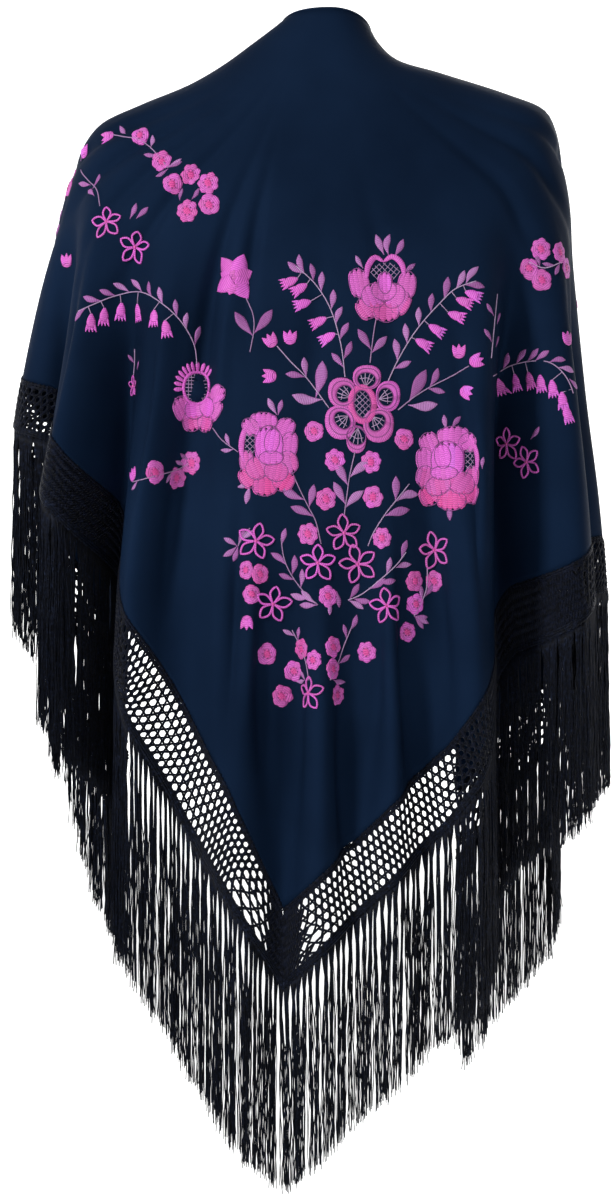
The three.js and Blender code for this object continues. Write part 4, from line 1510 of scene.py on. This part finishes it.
# A front sprig's stem, its leaves by middle and direction, and its small blossoms
FRONT_STEM = [(-6, -38), (3, -22), (2, -8), (0, 4)]
FRONT_LEAVES = [(-10, -27, 150), (11, -22, 40), (-6, -13, 140), (10, -10, 50)]
FRONT_BLOSSOMS = [(0, 12), (-18, 20), (17, 22), (0, 33)]


def front_motifs():
    """Sprigs on the fronts, which can't be seen from behind, of the same flowers as the back."""
    for at, share, lean, kind in FRONT_SPRIGS:
        column = int((at + 1) / 2 * (len(AT) - 1))
        row = np.interp(share * HEM_DOWN[column], DOWN[:, column], np.arange(CLOTH.shape[0]))
        spot = Spot(row, at, math.radians(lean))
        line(stems, spot, curve(FRONT_STEM), 1.2, 0.5, 0.4)
        for x, z, way in FRONT_LEAVES:
            leaf(spot, toward(way), 16, (x, z))
        if kind == "star":
            star(Spot(*spot_shift(spot, (0, 16)), math.radians(lean)), 34, 0.5)
        else:
            for middle in FRONT_BLOSSOMS:
                rosette(spot, 19, middle)


def embroider():
    """Every motif in the tables, and the sprigs on the fronts."""
    for x, z, wide in ROSETTES:
        rosette(spot_at(x, z), wide)
    for x, z, wide, turn in STARS:
        star(spot_at(x, z, math.radians(turn)), wide, chance.uniform(0.35, 0.6))
    for row in SPRAYS:
        spray(*row)
    for x, z, turn, long in LEAVES:
        leaf(spot_at(x, z), toward(turn), long)
    for x, z, turn in BUDS:
        bud(spot_at(x, z), turn)
    central_flower()
    for row in SIDE_ROSES:
        side_rose(*row)
    top_rose()
    net_rose()
    tulip()
    front_motifs()


embroider()

panel = shawl_cloth()
nets = [lay_net(-1), lay_net(1)]
fringes = [hang_fringe(*row) for row in STRETCHES]
sewn_on = [
    rolled_hem(),
    blossoms.piece("embroidered_blossoms", BLOSSOM, "crepe"),
    leaves.piece("embroidered_leaves", LEAF, "crepe"),
    stems.piece("embroidered_stems", STEM, "crepe"),
    backing.piece("netted_centre_ground", CREPE, "crepe"),
]


# The studio

FLOOR_Z = -1.42
FLOOR_RADIUS, FLOOR_STEPS = 14, 64
# The backdrop: its radius, how far it reaches round to each side, its top, and its steps
WALL_RADIUS, WALL_REACH, WALL_TOP, WALL_STEPS = 9, 1.35, 7.0, 48
VIEW_HALF = 600        # half the height, in mm, that the camera sees at the shawl's back
LAMPS = [
    # name, place, aim, size in metres, power in watts
    ("key", (-2.6, -2.4, 1.6), (0, 0, -0.4), 0.7, 142),
    ("fill", (1.6, -3.2, 0.4), (0, 0, -0.5), 1.6, 16),
    ("front", (0.6, 3.0, 1.2), (0, 0, -0.5), 2.0, 40),
]


def set_floor_and_backdrop():
    """A pale floor well below the fringe, and a curved white backdrop far beyond the shawl."""
    turns = np.linspace(0, 2 * math.pi, FLOOR_STEPS + 1)[:-1]
    ring = [(FLOOR_RADIUS * math.cos(a), FLOOR_RADIUS * math.sin(a), FLOOR_Z) for a in turns]
    mesh = bpy.data.meshes.new("studio_floor")
    mesh.from_pydata(ring, [], [tuple(range(FLOOR_STEPS))])
    mesh.materials.append(floor_paint())
    turns = np.linspace(-WALL_REACH, WALL_REACH, WALL_STEPS + 1)
    points = [(WALL_RADIUS * math.sin(a), WALL_RADIUS * math.cos(a), z)
              for z in (FLOOR_Z - 0.1, WALL_TOP) for a in turns]
    paper = bpy.data.meshes.new("studio_backdrop")
    n = WALL_STEPS + 1
    paper.from_pydata(points, [], [(k, k + 1, k + 1 + n, k + n) for k in range(WALL_STEPS)])
    paper.materials.append(lit_paper())
    for name, made in (("studio_floor", mesh), ("studio_backdrop", paper)):
        stage = bpy.data.objects.new(name, made)
        bpy.context.collection.objects.link(stage)


def light_studio():
    """Soft light: one strong lamp from the upper left, a weak one from the right, and one on
    the fronts, in a plain pale room."""
    world = bpy.data.worlds.new("studio")
    world.use_nodes = True
    world.node_tree.nodes["Background"].inputs["Color"].default_value = (1, 1, 1, 1)
    world.node_tree.nodes["Background"].inputs["Strength"].default_value = 0.2
    bpy.context.scene.world = world
    for name, at, aim, size, power in LAMPS:
        lamp = bpy.data.lights.new(name, "AREA")
        lamp.size, lamp.energy = size, power
        light = bpy.data.objects.new(name, lamp)
        light.location = at
        way = np.array(aim, float) - np.array(at, float)
        light.rotation_euler = (math.acos(-way[2] / np.linalg.norm(way)), 0,
                                math.atan2(way[0], -way[1]) + math.pi)
        bpy.context.collection.objects.link(light)


def set_camera():
    """3 m behind the shawl's back and level with its middle, seeing 1.2 m of height there."""
    lens = bpy.data.cameras.new("camera")
    lens.sensor_fit = "VERTICAL"
    lens.angle = 2 * math.atan(VIEW_HALF / VIEW_DISTANCE)
    eye = bpy.data.objects.new("camera", lens)
    eye.location = (VIEW_X * MM, (BACK_Y - VIEW_DISTANCE) * MM, VIEW_Z * MM)
    eye.rotation_euler = (math.pi / 2, 0, 0)
    bpy.context.collection.objects.link(eye)
    bpy.context.scene.camera = eye


set_floor_and_backdrop()
light_studio()
set_camera()
# Colours are shown as they are, so that white paper is white
bpy.context.scene.view_settings.view_transform = "Standard"
